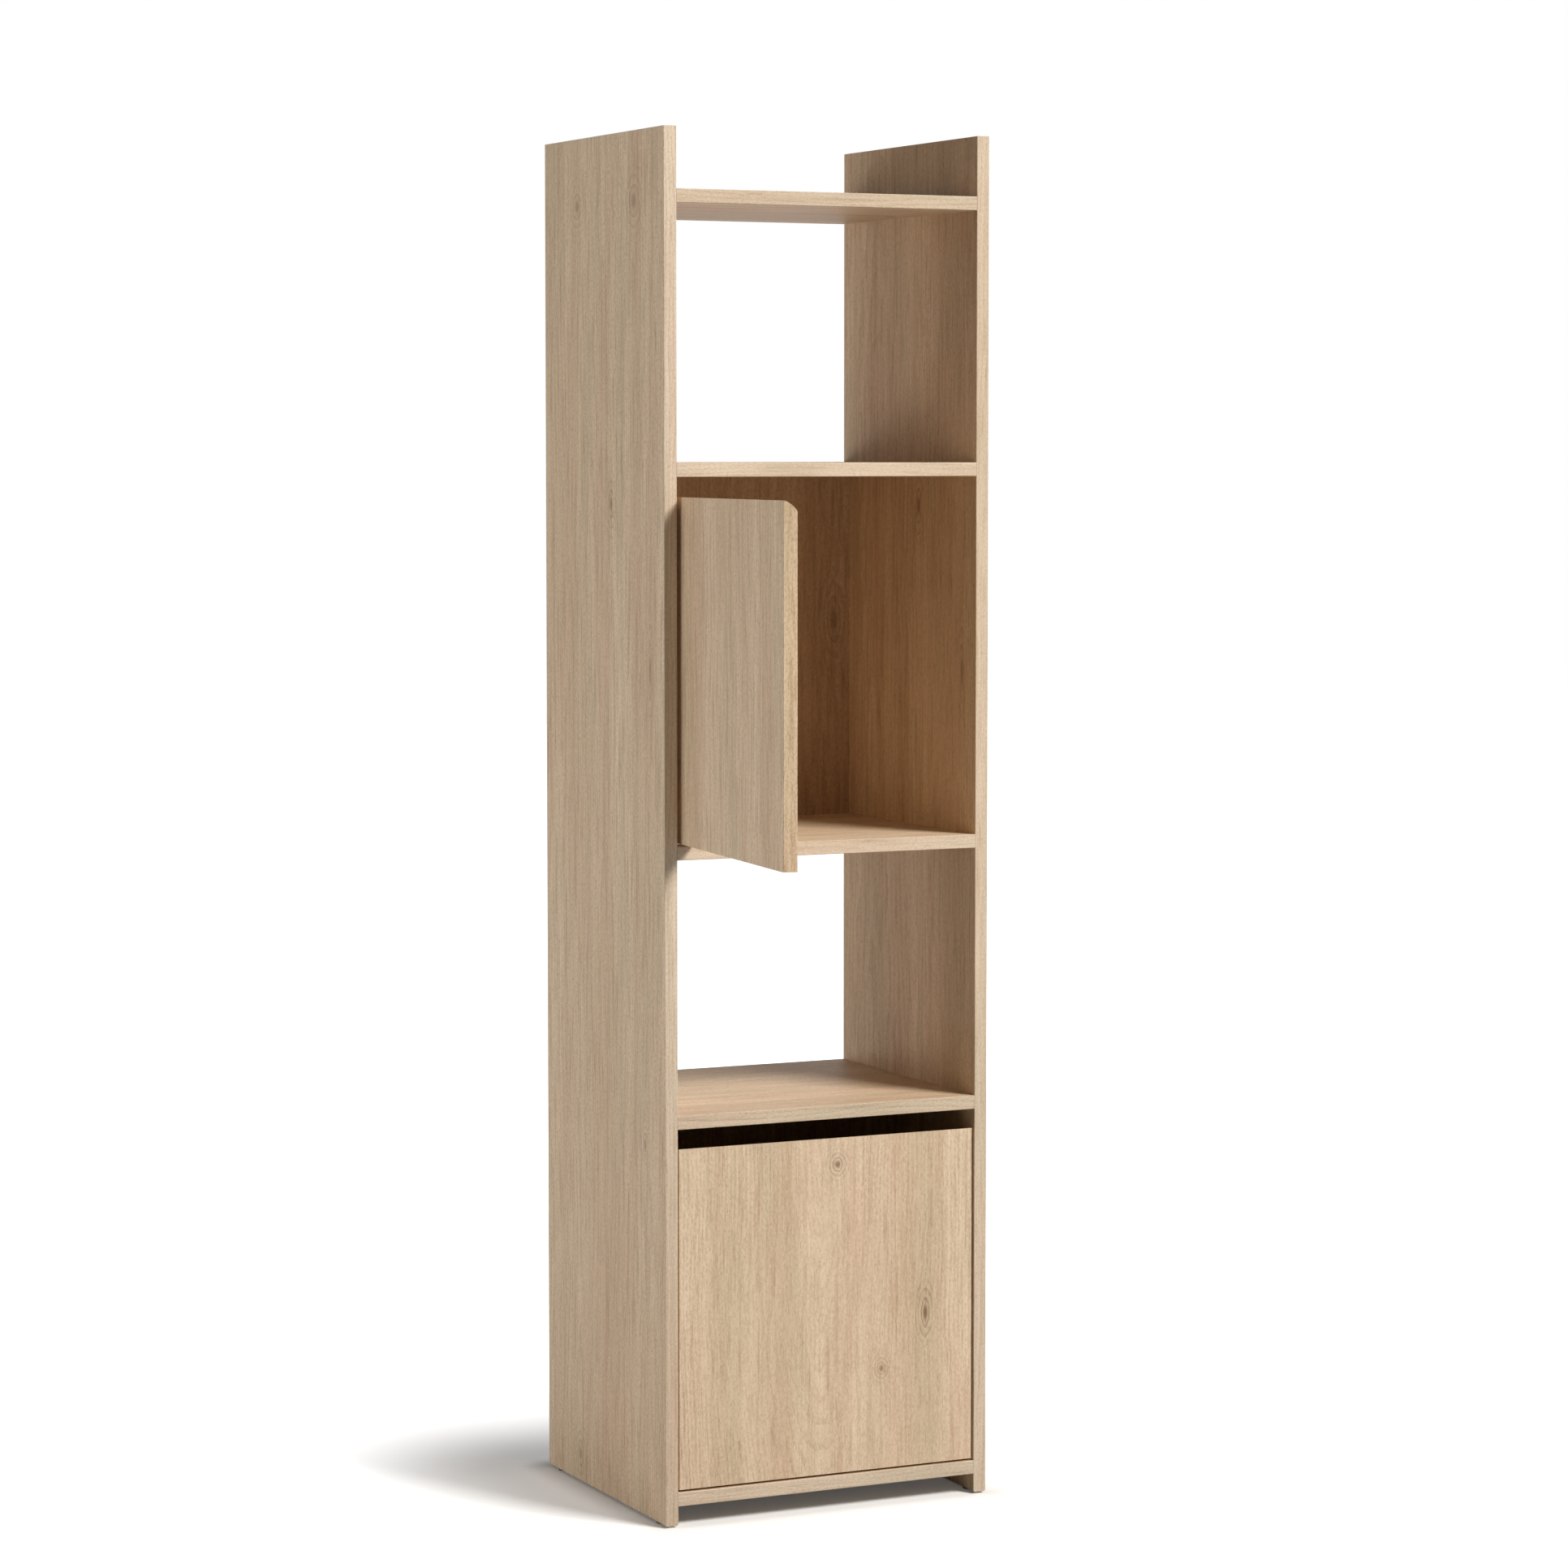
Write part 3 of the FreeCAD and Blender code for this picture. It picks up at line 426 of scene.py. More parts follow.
# %% [markdown]
# Round fittings could be put together from cylinders and cut with modifiers, but cuts leave thin
# stray faces. Here they are worked out as skins: a grid of points whose rows are rings and whose
# columns go round. The faces between neighbouring rings are found by counting, and the first and
# last ring are closed with a fan of triangles. If the volume comes out negative, the faces look
# inwards and are turned over.

# %% Skins
SHARP_ANGLE = math.radians(32)


def skin_faces(rings):
    """The corners of a closed skin's faces: quads between rings, and a fan at each end."""
    rows, columns = rings.shape[:2]
    row = np.arange(rows - 1)[:, None] * columns
    here = np.arange(columns)
    beside = (here + 1) % columns
    corners = [row + here, row + beside, row + columns + beside, row + columns + here]
    quads = np.stack(corners, -1).reshape(-1, 4)
    first, last = rows * columns, rows * columns + 1
    top = (rows - 1) * columns
    low_fan = np.stack([beside, here, np.full(columns, first)], -1)
    high_fan = np.stack([top + here, top + beside, np.full(columns, last)], -1)
    return quads, np.concatenate([low_fan, high_fan])


def skin_volume(points, quads, fans):
    """A sixth of the sum of the triple products of all triangles' corners."""
    triangles = np.concatenate([quads[:, [0, 1, 2]], quads[:, [0, 2, 3]], fans])
    a, b, c = (points[triangles[:, corner]] for corner in range(3))
    return float(np.einsum("ij,ij->i", a, np.cross(b, c)).sum() / 6)


def finished_piece(name, skins, body, replaced):
    """One object from several skins, in metres, that stands for nodes of the frame on one body."""
    points, faces, count = [], [], 0
    for rings in skins:
        quads, fans = skin_faces(rings)
        spots = np.concatenate([rings.reshape(-1, 3), rings[[0, -1]].mean(axis=1)])
        if skin_volume(spots - spots[0], quads, fans) < 0:
            quads, fans = quads[:, ::-1], fans[:, ::-1]
        points.append(spots)
        faces += (quads + count).tolist() + (fans + count).tolist()
        count += len(spots)
    points = np.concatenate(points)
    mesh = bpy.data.meshes.new(name)
    mesh.from_pydata(points.tolist(), [], faces)
    mesh.shade_smooth()
    mesh.set_sharp_from_angle(angle=SHARP_ANGLE)
    made = bpy.data.objects.new(name, mesh)
    scene.collection.objects.link(made)
    slot = slot_of_node[replaced[0]]
    mesh.materials.append(FINISH_OF_SLOT[slot])
    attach(made, body)
    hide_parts(*replaced)
    boxes = [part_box(label) for label in replaced]
    low, high = np.min([box[0] for box in boxes], axis=0), np.max([box[1] for box in boxes], axis=0)
    room = np.concatenate([points.min(axis=0) - low, high - points.max(axis=0)]) * 1000
    print(f"{name}: {len(faces)} faces, room inside its nodes' box {room.round(2).tolist()} mm")
    return made


# %% [markdown]
# A skin is made about its own axis, in millimetres, and is then set in place. The doors' fittings
# are made about the pivot of a shut door. For the upper door they are turned with it, because it
# stands open by 96.5 degrees. The sums are done on the points and not with the objects' own place
# and turn, so that every object stays at the origin, as the frame's own nodes do.

# %% Places
MM = 0.001
SIDE_INNER = -191.5
PIVOT = np.array([-179.0, 9.3, 0.0])
OPEN_ANGLE = math.radians(-96.5)
DOOR_BOTTOM = {"upper": 787.5, "lower": 42.5}
HINGE_HEIGHT = {"low": 85.0, "high": 309.5}
X_AXIS, Y_AXIS, Z_AXIS = (1, 0, 0), (0, 1, 0), (0, 0, 1)
print("both doors turn about", (PIVOT * MM).round(4).tolist(), "m")


def around(count):
    """Angles once round, without the last one, which is the first again."""
    return np.linspace(0, 2 * np.pi, count, endpoint=False)


def turned(profile, count=40):
    """Rings round Z from a profile of (radius, height): x = r cos a, y = r sin a, z = height."""
    radius, height = np.asarray(profile, float).T[..., None]
    angle = around(count)[None, :]
    return np.stack([radius * np.cos(angle), radius * np.sin(angle), height + 0 * angle], -1)


def set_up(rings, across, up, out, origin):
    """Lay a skin's own X, Y and Z along three directions and move it to its origin."""
    return rings @ np.array([across, up, out], float) + np.asarray(origin, float)


def on_door(rings, which):
    """From millimetres about the pivot of a shut door to metres in the frame.

    The turn about Z by an angle a is x' = x cos a - y sin a, y' = x sin a + y cos a.
    """
    angle = OPEN_ANGLE if which == "upper" else 0.0
    c, s = math.cos(angle), math.sin(angle)
    turn = np.array([[c, s, 0], [-s, c, 0], [0, 0, 1]])
    return (rings @ turn + PIVOT + [0, 0, DOOR_BOTTOM[which]]) * MM


def on_case(rings):
    """From millimetres to metres."""
    return rings * MM


# %% [markdown]
# The screws have a pan head with a cross for the screwdriver. The cross could be cut out of a
# cylinder, but one skin from the screw's tip to the bottom of the cross has no seam. Along the
# shank the radius is a ramp that climbs as the angle and the height go on, which is a thread. The
# last rings are not round: the outline of a plus sign is, for each angle, the longer reach of two
# crossed bars.

# %% A screw's skin
THREAD_LOW, THREAD_HIGH, THREAD_PITCH, THREAD_ROWS = 0.82, 0.08, 0.36, 64
TINY = 1e-9


def cross_reach(angle, half_length, half_width):
    """How far a plus sign reaches at an angle: the larger of its two bars' reaches."""
    c, s = np.abs(np.cos(angle)) + TINY, np.abs(np.sin(angle)) + TINY
    flat = np.minimum(half_length / c, half_width / s)
    upright = np.minimum(half_width / c, half_length / s)
    return np.maximum(flat, upright)


def screw_skin(diameter, length, count=48):
    """A pan-head screw along Z, with its head's underside at 0.

    Thread radius = core + depth * |2 frac(height / pitch - turn) - 1|.
    """
    angle = around(count)[None, :]
    core, head, rise = diameter * 0.34, diameter, diameter / 2
    height = np.linspace(-THREAD_LOW * length, -THREAD_HIGH * length, THREAD_ROWS)[:, None]
    phase = height / (THREAD_PITCH * diameter) - angle / (2 * np.pi)
    thread = core + diameter * 0.11 * np.abs(2 * (phase % 1.0) - 1)
    shank = np.stack([thread * np.cos(angle), thread * np.sin(angle), height + 0 * angle], -1)
    tip = turned([(0.06 * diameter, -length), (core * 0.7, -0.90 * length)], count)
    dome = turned([
        (core, -0.02 * length), (core, 0.0), (0.93 * head, 0.0), (0.96 * head, 0.10 * rise),
        (0.96 * head, 0.30 * rise), (0.92 * head, 0.55 * rise), (0.82 * head, 0.78 * rise),
        (0.66 * head, 0.93 * rise)], count)
    cross = cross_reach(angle, 0.50 * head, 0.12 * head)
    shares = np.array([(1.0, 1.0), (0.93, 0.93), (0.72, 0.30), (0.30, 0.22)])
    reach = shares[:, :1] * cross
    floor_height = shares[:, 1:] * rise + 0 * reach
    recess = np.stack([reach * np.cos(angle), reach * np.sin(angle), floor_height], -1)
    return np.concatenate([tip, shank, dome, recess])


# %% [markdown]
# Every hinge has two screws in its cup's wings, two in its plate's wings, and one that clamps the
# arm to the plate. Three sizes are enough, and the same skin is laid in each of its places.
# Screws in a door are one piece, because they swing together.

# %% Screws in their places
PLATE_LINE = 55.5
ARM_FACE, PLATE_FACE, FLANGE_TOP = 9.0, 2.0, 10.4
CUP_SCREW_X = 17.5
PLATE_SCREW_STEP, CUP_SCREW_STEP = 16.0, 24.0

plate_screw = screw_skin(diameter=5.0, length=12.0)
arm_screw = screw_skin(diameter=4.0, length=8.0)
cup_screw = screw_skin(diameter=3.5, length=12.0)
plate_screws, arm_screws = [], []
for which, bottom in DOOR_BOTTOM.items():
    cup_screws = []
    for height in HINGE_HEIGHT.values():
        arm_place = (SIDE_INNER + ARM_FACE, PLATE_LINE, bottom + height)
        arm_screws.append(on_case(set_up(arm_screw, Y_AXIS, Z_AXIS, X_AXIS, arm_place)))
        for step in (-1, 1):
            level = bottom + height + step * PLATE_SCREW_STEP
            plate_place = (SIDE_INNER + PLATE_FACE, PLATE_LINE, level)
            plate_screws.append(on_case(set_up(plate_screw, Y_AXIS, Z_AXIS, X_AXIS, plate_place)))
            cup_place = (CUP_SCREW_X, FLANGE_TOP, height + step * CUP_SCREW_STEP)
            cup_screws.append(on_door(set_up(cup_screw, Z_AXIS, X_AXIS, Y_AXIS, cup_place), which))
    finished_piece(f"cross_head_cup_screws_{which}", cup_screws, f"{which}_door",
                   [f"cup_screws_{which}_door"])
finished_piece("cross_head_plate_screws", plate_screws, "carcass", ["plate_screws"])
finished_piece("cross_head_arm_screws", arm_screws, "carcass", ["arm_screws"])

# %% [markdown]
# The pin is a plain turned rod with softly broken ends, and the glides under the feet are low
# discs with a rounded rim, so that they slide. They could be cylinders with a bevel. A profile
# that is turned about an axis says every radius and height outright.

# %% Pins and glides
PIN_RADIUS = 1.48
PIN_HALF = 11.5
PIN_PROFILE = [
    (1.1, -PIN_HALF), (1.35, -PIN_HALF + 0.1), (PIN_RADIUS, -PIN_HALF + 0.4),
    (PIN_RADIUS, PIN_HALF - 0.4), (1.35, PIN_HALF - 0.1), (1.1, PIN_HALF),
]
GLIDE_PROFILE = [(5.0, 0.0), (6.0, 0.1), (6.6, 0.4), (6.85, 0.9), (6.9, 1.4), (6.9, 2.0)]
GLIDE_X, GLIDE_FRONT, GLIDE_REAR = 199.5, 28.0, 322.0

for which in DOOR_BOTTOM:
    for place, height in HINGE_HEIGHT.items():
        pin = turned(PIN_PROFILE) + [0, 0, height]
        finished_piece(f"turned_pin_{which}_{place}", [on_door(pin, which)], f"{which}_door",
                       [f"hinge_pin_{which}_door_{place}"])
glides = [on_case(turned(GLIDE_PROFILE) + [x, y, 0.0])
          for x in (-GLIDE_X, GLIDE_X) for y in (GLIDE_FRONT, GLIDE_REAR)]
finished_piece("round_floor_glides", glides, "carcass", ["floor_glides"])

# %% [markdown]
# The cam is the round lock that pulls a shelf's end to the side board. It sits in the shelf's
# underside, where only its face with the cross for the screwdriver shows. So the rings run from
# its upper end, down its side and over its face, and end at the bottom of the cross.

# %% Cam locks
CAM_RADIUS, CAM_HEIGHT, CAM_FACE_SINK = 7.2, 12.5, 0.25
CAM_CROSS_LENGTH, CAM_CROSS_WIDTH, CAM_CROSS_DEPTH = 10.4, 2.2, 2.0
CAM_X, CAM_Y = 167.5, 175.0
SHELF_UNDERSIDES = (24.0, 460.0, 769.0, 1205.0, 1514.0)


def cam_skin(count=48):
    """A turned body, height h from its face up, whose last rings follow a plus sign."""
    body = turned([
        (6.9, CAM_HEIGHT), (CAM_RADIUS, CAM_HEIGHT - 0.3), (CAM_RADIUS, 0.3), (6.9, 0.02),
        (6.5, 0.0), (6.3, CAM_FACE_SINK), (6.0, CAM_FACE_SINK)], count)
    angle = around(count)[None, :]
    reach = cross_reach(angle, CAM_CROSS_LENGTH / 2, CAM_CROSS_WIDTH / 2)
    reach = reach * np.array([[1.0], [0.96], [0.90]])
    height = np.array([[CAM_FACE_SINK], [0.4], [CAM_CROSS_DEPTH]]) + 0 * reach
    recess = np.stack([reach * np.cos(angle), reach * np.sin(angle), height], -1)
    return np.concatenate([body, recess])


cam = cam_skin()
cams = [on_case(cam + [side * CAM_X, CAM_Y, level])
        for level in SHELF_UNDERSIDES for side in (-1, 1)]
finished_piece("cross_head_cam_locks", cams, "carcass", ["cam_locks"])

# %% [markdown]
# The doors hang on concealed hinges, each of a cup in the door, an arm and a plate on the side
# board. The photograph hides them, so they follow a common kind. The cup's flange lies on the
# door's inner face. Its outline is the pot's rim joined to two rounded wings that take the
# screws. For each angle it reaches as far as the furthest of these shapes does, so no shapes have
# to be cut and joined.

# %% The flange's outline
RIM_RADIUS = 18.8
WING_HALF, WING_REACH, WING_SHIFT, WING_DISCS = 7.4, 24.0, 6.0, 25


def wing_reach(angle):
    """How far the flange reaches from the pot's axis: the largest of its rim and a row of discs.

    The discs lie side by side from one wing's end to the other. A disc at centre c is left by a
    ray at c.d + sqrt(r * r - |c|^2 + (c.d)^2), where d is the ray's direction, and a ray that
    misses it counts as nothing.
    """
    direction = np.stack([np.cos(angle), np.sin(angle)])
    reach = np.full_like(angle, RIM_RADIUS)
    for step in np.linspace(-WING_REACH, WING_REACH, WING_DISCS):
        centre = np.array([WING_SHIFT, step])
        along = centre @ direction
        inside = WING_HALF ** 2 - centre @ centre + along ** 2
        hit = np.where((inside > 0) & (along > 0), along + np.sqrt(np.maximum(inside, 0)), 0)
        reach = np.maximum(reach, hit)
    return reach


print("the flange reaches", wing_reach(around(360)).max().round(2), "mm from the pot's axis")

# %% [markdown]
# The cup is the round pot that is let into the door. From outside to inside its skin goes up the
# pot's outside, out under the flange, round the flange's edge, in over its face, down the bowl,
# and down again into the slot in which the arm swings. On the hinge side the rim has a notch for
# the arm, where all rings keep low.

# %% Hinge cups
CUP_X = 11.5
POT_RADIUS, BOWL_RADIUS = 17.3, 16.5
FACE = 9.22
POT_FLOOR, SLOT_FLOOR, CHEEK_TOP = -4.15, -3.2, 3.5
SLOT_HALF = 6.3
CUP_COLUMNS, NOTCH_WALL_ANGLE = 144, 0.004


def cup_skin():
    """The cup about its pot's axis: X across the door, Y up it, Z out of its inner face.

    Each ring is (radius, radius in the notch, height, height in the notch).
    """
    corner = math.asin(SLOT_HALF / BOWL_RADIUS)
    sharp = np.pi - corner + np.array([-NOTCH_WALL_ANGLE, NOTCH_WALL_ANGLE])
    sharp = np.concatenate([[corner], sharp])
    angle = np.concatenate([around(CUP_COLUMNS), sharp, 2 * np.pi - sharp])
    angle = np.unique(np.round(angle, 6))
    low = np.abs(angle - np.pi) < corner
    edge = wing_reach(angle)
    slot = np.minimum(BOWL_RADIUS - 0.4, SLOT_HALF / (np.abs(np.sin(angle)) + TINY))
    rings = [
        (POT_RADIUS - 1.0, POT_RADIUS - 1.0, POT_FLOOR, POT_FLOOR),
        (POT_RADIUS, POT_RADIUS, POT_FLOOR + 1.0, POT_FLOOR + 1.0),
        (POT_RADIUS, POT_RADIUS, FACE, CHEEK_TOP - 0.1),
        (edge - 0.1, POT_RADIUS - 0.04, FACE, CHEEK_TOP),
        (edge, POT_RADIUS - 0.08, FACE + 0.7, CHEEK_TOP),
        (edge - 0.2, POT_RADIUS - 0.12, FLANGE_TOP - 0.15, CHEEK_TOP),
        (edge - 0.6, POT_RADIUS - 0.16, FLANGE_TOP, CHEEK_TOP),
        (BOWL_RADIUS + 0.9, BOWL_RADIUS + 0.60, FLANGE_TOP, CHEEK_TOP),
        (BOWL_RADIUS + 0.3, BOWL_RADIUS + 0.55, FLANGE_TOP - 0.25, CHEEK_TOP),
        (BOWL_RADIUS, BOWL_RADIUS + 0.50, FLANGE_TOP - 0.9, CHEEK_TOP),
        (BOWL_RADIUS, BOWL_RADIUS + 0.45, CHEEK_TOP + 1.0, CHEEK_TOP),
        (BOWL_RADIUS - 0.3, BOWL_RADIUS + 0.4, CHEEK_TOP + 0.3, CHEEK_TOP),
        (np.maximum(slot + 0.3, BOWL_RADIUS - 2.0), BOWL_RADIUS, CHEEK_TOP, CHEEK_TOP),
        (slot + 0.25, slot + 0.25, CHEEK_TOP, CHEEK_TOP),
        (slot, slot, CHEEK_TOP - 0.3, CHEEK_TOP - 0.3),
        (slot, slot, SLOT_FLOOR + 0.5, SLOT_FLOOR + 0.5),
        (slot - 0.5, slot - 0.5, SLOT_FLOOR, SLOT_FLOOR),
    ]
    radius = np.array([np.where(low, held, free) + 0 * angle for free, held, _, _ in rings])
    height = np.array([np.where(low, held, free) + 0 * angle for _, _, free, held in rings])
    return np.stack([radius * np.cos(angle), radius * np.sin(angle), height], -1)


cup = cup_skin()
for which in DOOR_BOTTOM:
    for place, height in HINGE_HEIGHT.items():
        rings = set_up(cup, X_AXIS, Z_AXIS, Y_AXIS, (CUP_X, 0.0, height))
        finished_piece(f"pressed_cup_{which}_{place}", [on_door(rings, which)], f"{which}_door",
                       [f"hinge_cup_{which}_door_{place}"])

# %% [markdown]
# The arm is a strip of sheet metal, bent to a goose-neck, so that it stays clear of the door at
# every angle. Its middle line runs from the pin, round the hook, along the crest, round the bend
# and back along the rail. It is made of two arcs and the straight lines that touch them, as a
# bending tool would make it.

# %% The arm's path
HOOK_CENTRE, HOOK_RADIUS = np.array([5.0, 11.0]), 10.5
BEND_CENTRE, BEND_RADIUS = np.array([0.5, 26.5]), 5.0
WEB_X, FOLD_START, ARM_REAR = -4.5, 30.5, 77.2
FOLD_RUN, END_RUN = 4.0, 1.6


def arc_points(centre, radius, start, end, count):
    """Points on an arc: centre + radius * (cos a, sin a)."""
    angle = np.linspace(start, end, count)
    return centre + radius * np.stack([np.cos(angle), np.sin(angle)], -1)


def arm_path():
    """The middle line seen along the pin: tangent, hook, crest, bend and rail.

    The tangent from the pin to the hook leaves at the centre's own angle less
    asin(radius / distance).
    """
    dive = math.atan2(HOOK_CENTRE[1], HOOK_CENTRE[0])
    dive -= math.asin(HOOK_RADIUS / np.linalg.norm(HOOK_CENTRE))
    hook = arc_points(HOOK_CENTRE, HOOK_RADIUS, dive - np.pi / 2, np.pi / 2, 32)
    bend = arc_points(BEND_CENTRE, BEND_RADIUS, -np.pi / 2, -np.pi, 12)
    rail_y = np.concatenate([
        [FOLD_START - 2], np.linspace(FOLD_START, FOLD_START + FOLD_RUN, 9),
        [ARM_REAR - 2 * END_RUN], np.linspace(ARM_REAR - END_RUN, ARM_REAR, 6)])
    rail = np.stack([np.full_like(rail_y, WEB_X), rail_y], -1)
    start = np.linspace(0.3, 0.9, 4)[:, None] * hook[0]
    return np.concatenate([start, hook, bend, rail])


print("the arm's path has", len(arm_path()), "points")

# %% [markdown]
# A profile is carried along the path. A curve with a bevel could do this too, but its profile
# stays the same all the way. This one is a shallow channel whose side folds are almost nothing on
# the neck, grow to full depth over the rail, and shrink again at the rear end.

# %% Hinge arms
HALF_THICK = 0.98
NECK_HALF, RAIL_HALF = 5.95, 7.25
FOLD, FOLD_DROP = 1.45, 4.6
EYE_BORE, EYE_RADIUS = 1.58, 2.65


def smooth_step(value, low, high):
    """s * s * (3 - 2 s), where s is the share of the way from low to high, held at 0 and 1."""
    share = np.clip((value - low) / (high - low), 0, 1)
    return share * share * (3 - 2 * share)


def arm_skin():
    """Ring corner = path + normal * depth + Z * width, all three changing along the path."""
    path = arm_path()
    tangent = np.gradient(path, axis=0)
    tangent /= np.linalg.norm(tangent, axis=1, keepdims=True)
    normal = np.stack([-tangent[:, 1], tangent[:, 0]], -1)
    folded = smooth_step(path[:, 1], FOLD_START, FOLD_START + FOLD_RUN)[:, None]
    ended = smooth_step(path[:, 1], ARM_REAR - END_RUN, ARM_REAR)[:, None]
    drop = 0.02 + FOLD_DROP * folded * (1 - ended)
    half = NECK_HALF + (RAIL_HALF - NECK_HALF) * folded - 1.2 * ended
    inner = half - FOLD
    under = np.full_like(half, HALF_THICK)
    top = -under
    foot = under + drop
    depth = [top, top + 0.1, top + 0.35, top + 0.8, foot - 0.3, foot,
             foot, foot - 0.01, under]
    width = [half - 0.8, half - 0.35, half - 0.1, half, half, half - 0.3,
             inner + 0.2, inner, inner - 0.1]
    depth = np.hstack(depth + depth[::-1])
    width = np.hstack(width + [-part for part in width[::-1]])
    spot = path[:, None, :] + normal[:, None, :] * depth[:, :, None]
    return np.concatenate([spot, width[:, :, None]], -1)


def eye_skin():
    """The eye round the pin: a turned sleeve, from one edge of its bore over its outside."""
    half = [(EYE_BORE, NECK_HALF), (EYE_RADIUS - 0.15, NECK_HALF), (EYE_RADIUS, NECK_HALF - 0.2)]
    return turned([(radius, -height) for radius, height in half] + half[::-1], count=36)


arm, eye = arm_skin(), eye_skin()
for which, bottom in DOOR_BOTTOM.items():
    for place, height in HINGE_HEIGHT.items():
        shift = PIVOT + [0, 0, bottom + height]
        skins = [on_case(arm + shift), on_case(eye + shift)]
        finished_piece(f"pressed_arm_{which}_{place}", skins, "carcass",
                       [f"hinge_arm_{which}_door_{place}"])

# %% [markdown]
# The mounting plate is screwed to the side board. Its two wings are one low pill, and the rail
# that the arm straddles is a longer and taller block. Both are an outline raised with a soft
# upper edge, since a sharp edge would catch no light. The outline of a rounded rectangle is, for
# each angle, a corner's centre plus the corner's radius.

# %% Mounting plates
RAIL_MIDDLE = 66.5


def raised(half_x, half_y, corner, height, soft, count=64):
    """Rings of a rounded rectangle: up the side, then over a soft edge of the given radius."""
    angle = around(count) + np.pi / count
    sides = np.stack([np.sign(np.cos(angle)), np.sign(np.sin(angle))], -1)
    round_part = np.stack([np.cos(angle), np.sin(angle)], -1)
    turn = np.linspace(0, np.pi / 2, 5)
    inset = np.concatenate([[0.0], soft * (1 - np.cos(turn))])
    level = np.concatenate([[0.0], height - soft + soft * np.sin(turn)])
    flat = np.array([half_x - corner, half_y - corner])
    outline = sides * flat + round_part * (corner - inset[:, None, None])
    height_column = np.broadcast_to(level[:, None, None], outline.shape[:2] + (1,))
    return np.concatenate([outline, height_column], -1)


wings = raised(half_x=6.45, half_y=22.45, corner=6.4, height=2.0, soft=0.4)
rail = raised(half_x=20.0, half_y=5.5, corner=1.5, height=7.0, soft=0.7)
for which, bottom in DOOR_BOTTOM.items():
    for place, height in HINGE_HEIGHT.items():
        low = set_up(wings, Y_AXIS, Z_AXIS, X_AXIS, (SIDE_INNER, PLATE_LINE, bottom + height))
        tall = set_up(rail, Y_AXIS, Z_AXIS, X_AXIS, (SIDE_INNER, RAIL_MIDDLE, bottom + height))
        finished_piece(f"cast_plate_{which}_{place}", [on_case(low), on_case(tall)], "carcass",
                       [f"hinge_plate_{which}_door_{place}"])

# %% [markdown]
# The studio is a pale floor and nothing else. The camera sees the floor whiter than it is as a
# source of light: it glows a little near the bookcase, where the shadow has to show, and fully
# further out. A plain white floor would lose the shadow, and a grey one would look grey.

# %% The floor
FLOOR_HALF = 14.0
FLOOR_PALE = (0.43, 0.43, 0.42, 1.0)
FLOOR_SEEN = (0.90, 0.89, 0.87, 1.0)
FOOTPRINT_MIDDLE, FOOTPRINT_HALF = (0.0, 0.175, 0.0), (0.20, 0.17, 0.0)


def seen_directly(recipe):
    """1 for rays from the camera, from mirrors and through glass, and 0 for the rest."""
    seen = recipe.node("ShaderNodeLightPath", output="Is Camera Ray")
    for extra in ("Is Glossy Ray", "Is Transmission Ray"):
        seen = seen.math("MAXIMUM", recipe.node("ShaderNodeLightPath", output=extra))
    return seen


def floor_finish():
    """Matt, with a glow that depends on the distance from the bookcase's footprint.

    Distance = length of max(|place - middle| - half size, 0).
    """
    recipe = Recipe("studio_floor")
    from_middle = recipe.vector("SUBTRACT", recipe.place, FOOTPRINT_MIDDLE)
    beyond = recipe.vector("SUBTRACT", recipe.vector("ABSOLUTE", from_middle), FOOTPRINT_HALF)
    beyond = recipe.vector("MAXIMUM", beyond, (0.0, 0.0, 0.0))
    away = recipe.vector("LENGTH", beyond, output="Value")
    glow = away.ramp(0.0, 0.05, 0.06, 0.28) + away.ramp(0.05, 0.34, 0.0, 0.72)
    pale = recipe.node("ShaderNodeBsdfDiffuse", {"Color": FLOOR_PALE})
    white = recipe.node("ShaderNodeBsdfDiffuse", {"Color": FLOOR_SEEN})
    shine = recipe.node("ShaderNodeEmission", {"Strength": glow})
    lit = recipe.node("ShaderNodeAddShader", [white, shine])
    return recipe.close(recipe.node("ShaderNodeMixShader", [seen_directly(recipe), pale, lit]))


corners = [(-FLOOR_HALF, -FLOOR_HALF, 0.0), (FLOOR_HALF, -FLOOR_HALF, 0.0),
           (FLOOR_HALF, FLOOR_HALF, 0.0), (-FLOOR_HALF, FLOOR_HALF, 0.0)]
floor_mesh = bpy.data.meshes.new("studio_floor")
floor_mesh.from_pydata(corners, [], [(0, 1, 2, 3)])
floor_mesh.materials.append(floor_finish())
floor = bpy.data.objects.new("studio_floor", floor_mesh)
scene.collection.objects.link(floor)
print("floor", 2 * FLOOR_HALF, "m wide")

# %% [markdown]
# The world is what lies past the floor's edge. It is white to the camera and to reflections, so
# the background is white and the metal has something pale to mirror. As a light it is only a dim
# grey, because light from all sides would wash out the shade inside the compartments.

# %% The world
AMBIENT = 0.04
WHITE = (1.0, 1.0, 1.0, 1.0)

surroundings = Recipe("studio_world", bpy.data.worlds, "ShaderNodeOutputWorld")
dim = surroundings.node("ShaderNodeBackground", {"Color": WHITE, "Strength": AMBIENT})
white = surroundings.node("ShaderNodeBackground", {"Color": WHITE, "Strength": 1.0})
both = surroundings.node("ShaderNodeMixShader", [seen_directly(surroundings), dim, white])
scene.world = surroundings.close(both)
print("ambient light", AMBIENT)

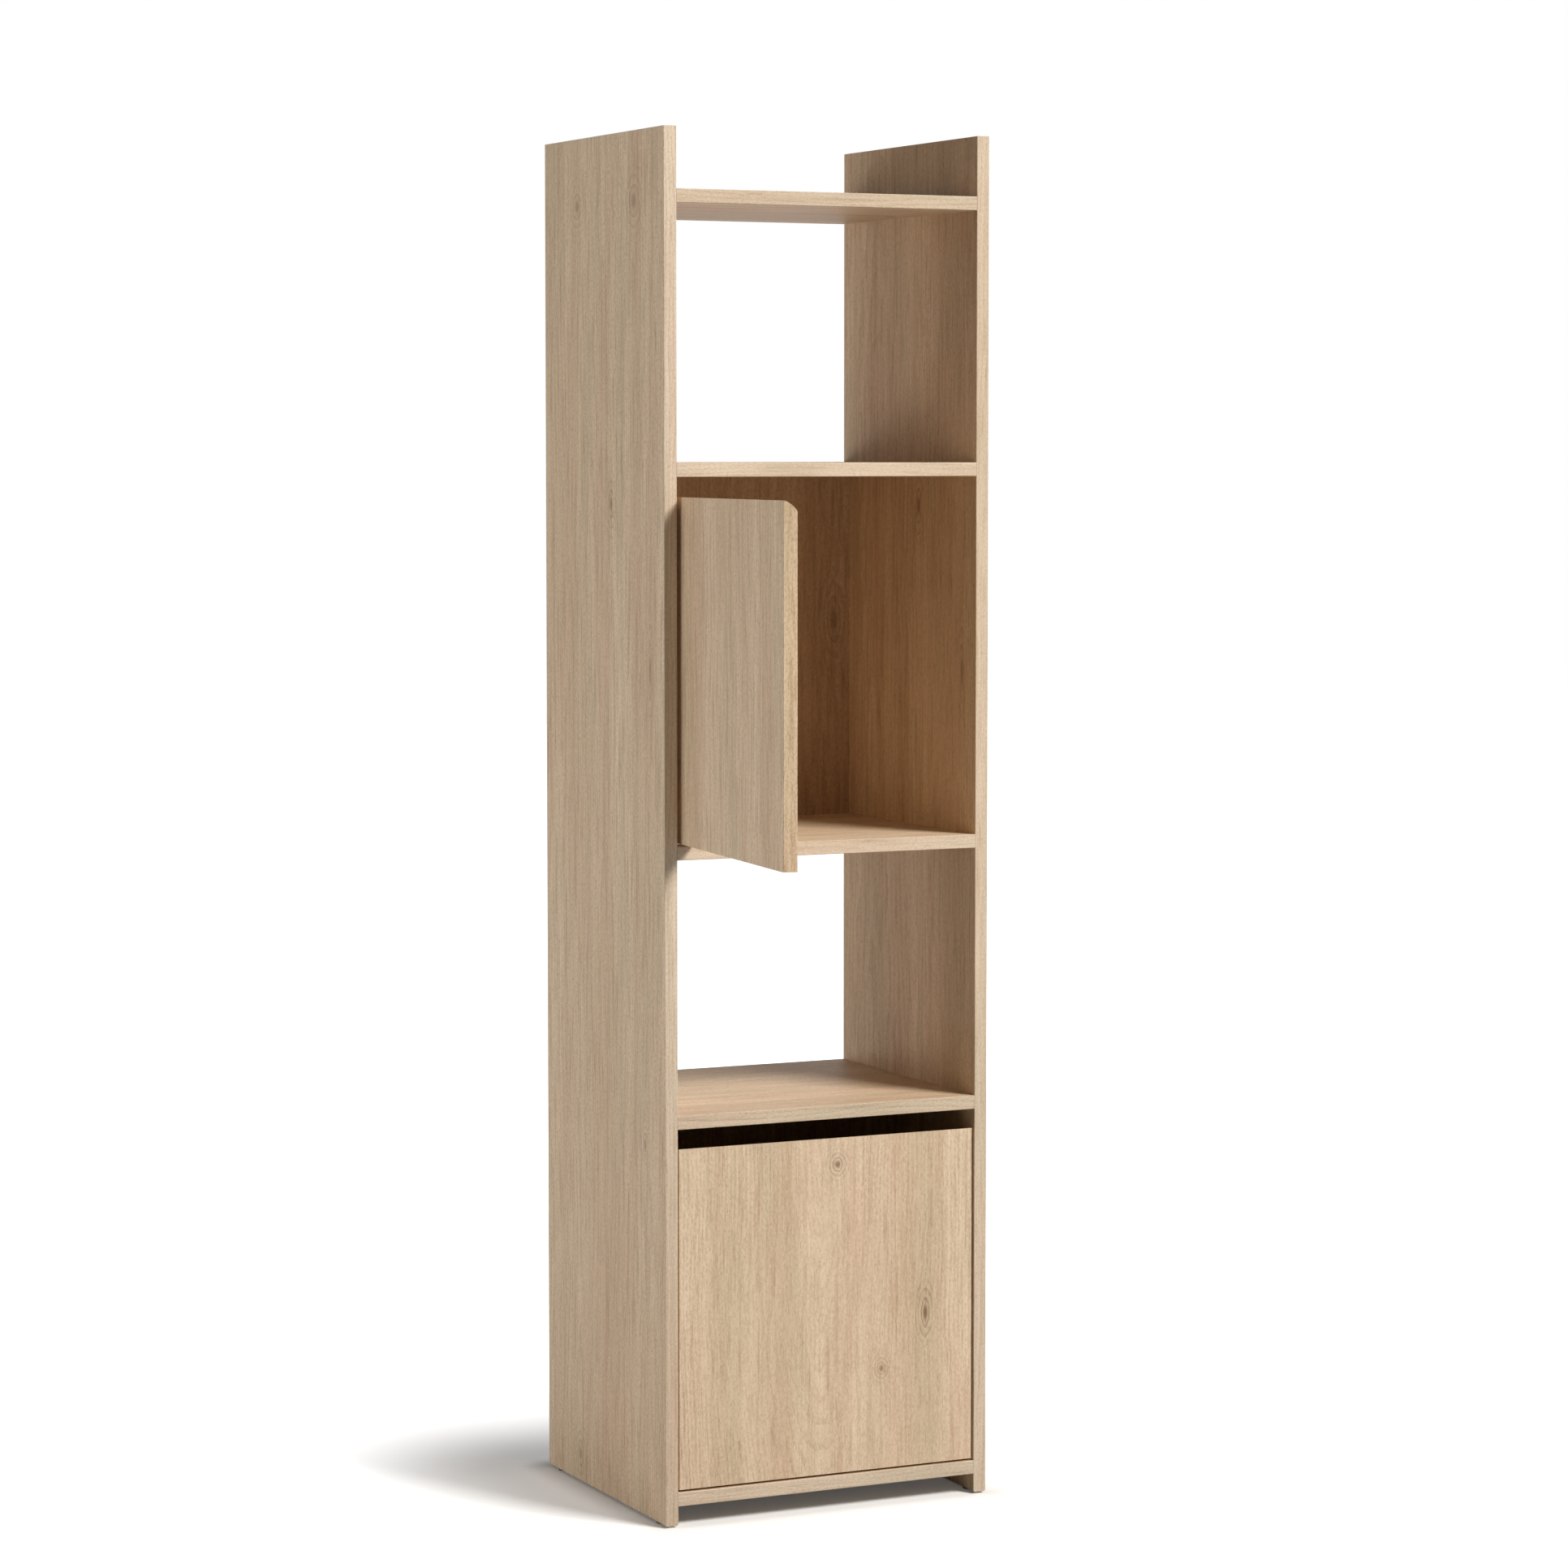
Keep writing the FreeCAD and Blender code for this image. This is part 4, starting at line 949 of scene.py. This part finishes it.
# %% [markdown]
# Three large soft lamps shape the boards. Small ones would draw hard shadows, which the
# photograph doesn't show. The key lamp stands in front, to the right and high, so fronts and
# edges are bright and the open door shades the strip beside it. A weaker, low lamp lights the
# left side. The third one stands behind, to the left and low: it shines through the open niches.

# %% Lamps
AIM = Vector((0.0, 0.175, 0.80))


def soft_lamp(name, place, size, power, colour=(1.0, 1.0, 1.0)):
    """A square area lamp at a place in metres that faces the middle of the bookcase."""
    light = bpy.data.lights.new(name, "AREA")
    light.shape = "SQUARE"
    light.size = size
    light.energy = power
    light.color = colour
    lamp = bpy.data.objects.new(name, light)
    lamp.location = place
    lamp.rotation_euler = (AIM - Vector(place)).to_track_quat("-Z", "Y").to_euler()
    scene.collection.objects.link(lamp)
    print(name, round((AIM - Vector(place)).length, 2), "m away")


soft_lamp("key_lamp", place=(3.25, -4.99, 5.87), size=2.6, power=780.0, colour=(1.0, 0.99, 0.97))
soft_lamp("left_lamp", place=(-4.2, 0.6, 0.85), size=1.3, power=48.0)
soft_lamp("back_left_lamp", place=(-3.4, 2.4, 0.45), size=0.8, power=23.0)

# %% [markdown]
# The photograph was taken with a long lens, from far away and from the left, so upright edges
# stay almost parallel. The lens, place and turn below come from fitting the straight edges of the
# boards. The small shift is the one that the framing needs.

# %% Camera
CAMERA_PLACE = (-2.23425, -4.57764, 1.23284)
CAMERA_TURN = 0.4439
CAMERA_DIP = 0.0643
SENSOR_MM, LENS_MM = 36.0, 101.503
SHIFT = -0.030
FAR_LIMIT = 60.0

camera_data = bpy.data.cameras.new("camera")
camera_data.sensor_width = SENSOR_MM
camera_data.lens = LENS_MM
camera_data.shift_y = SHIFT
camera_data.clip_end = FAR_LIMIT
camera = bpy.data.objects.new("camera", camera_data)
flat = math.cos(CAMERA_DIP)
ahead = (math.sin(CAMERA_TURN) * flat, math.cos(CAMERA_TURN) * flat, -math.sin(CAMERA_DIP))
camera.location = CAMERA_PLACE
camera.rotation_euler = Vector(ahead).to_track_quat("-Z", "Y").to_euler()
scene.collection.objects.link(camera)
scene.camera = camera
scene.view_settings.view_transform = "Standard"
print("camera", round(math.degrees(CAMERA_TURN), 1), "degrees to the left of the front")
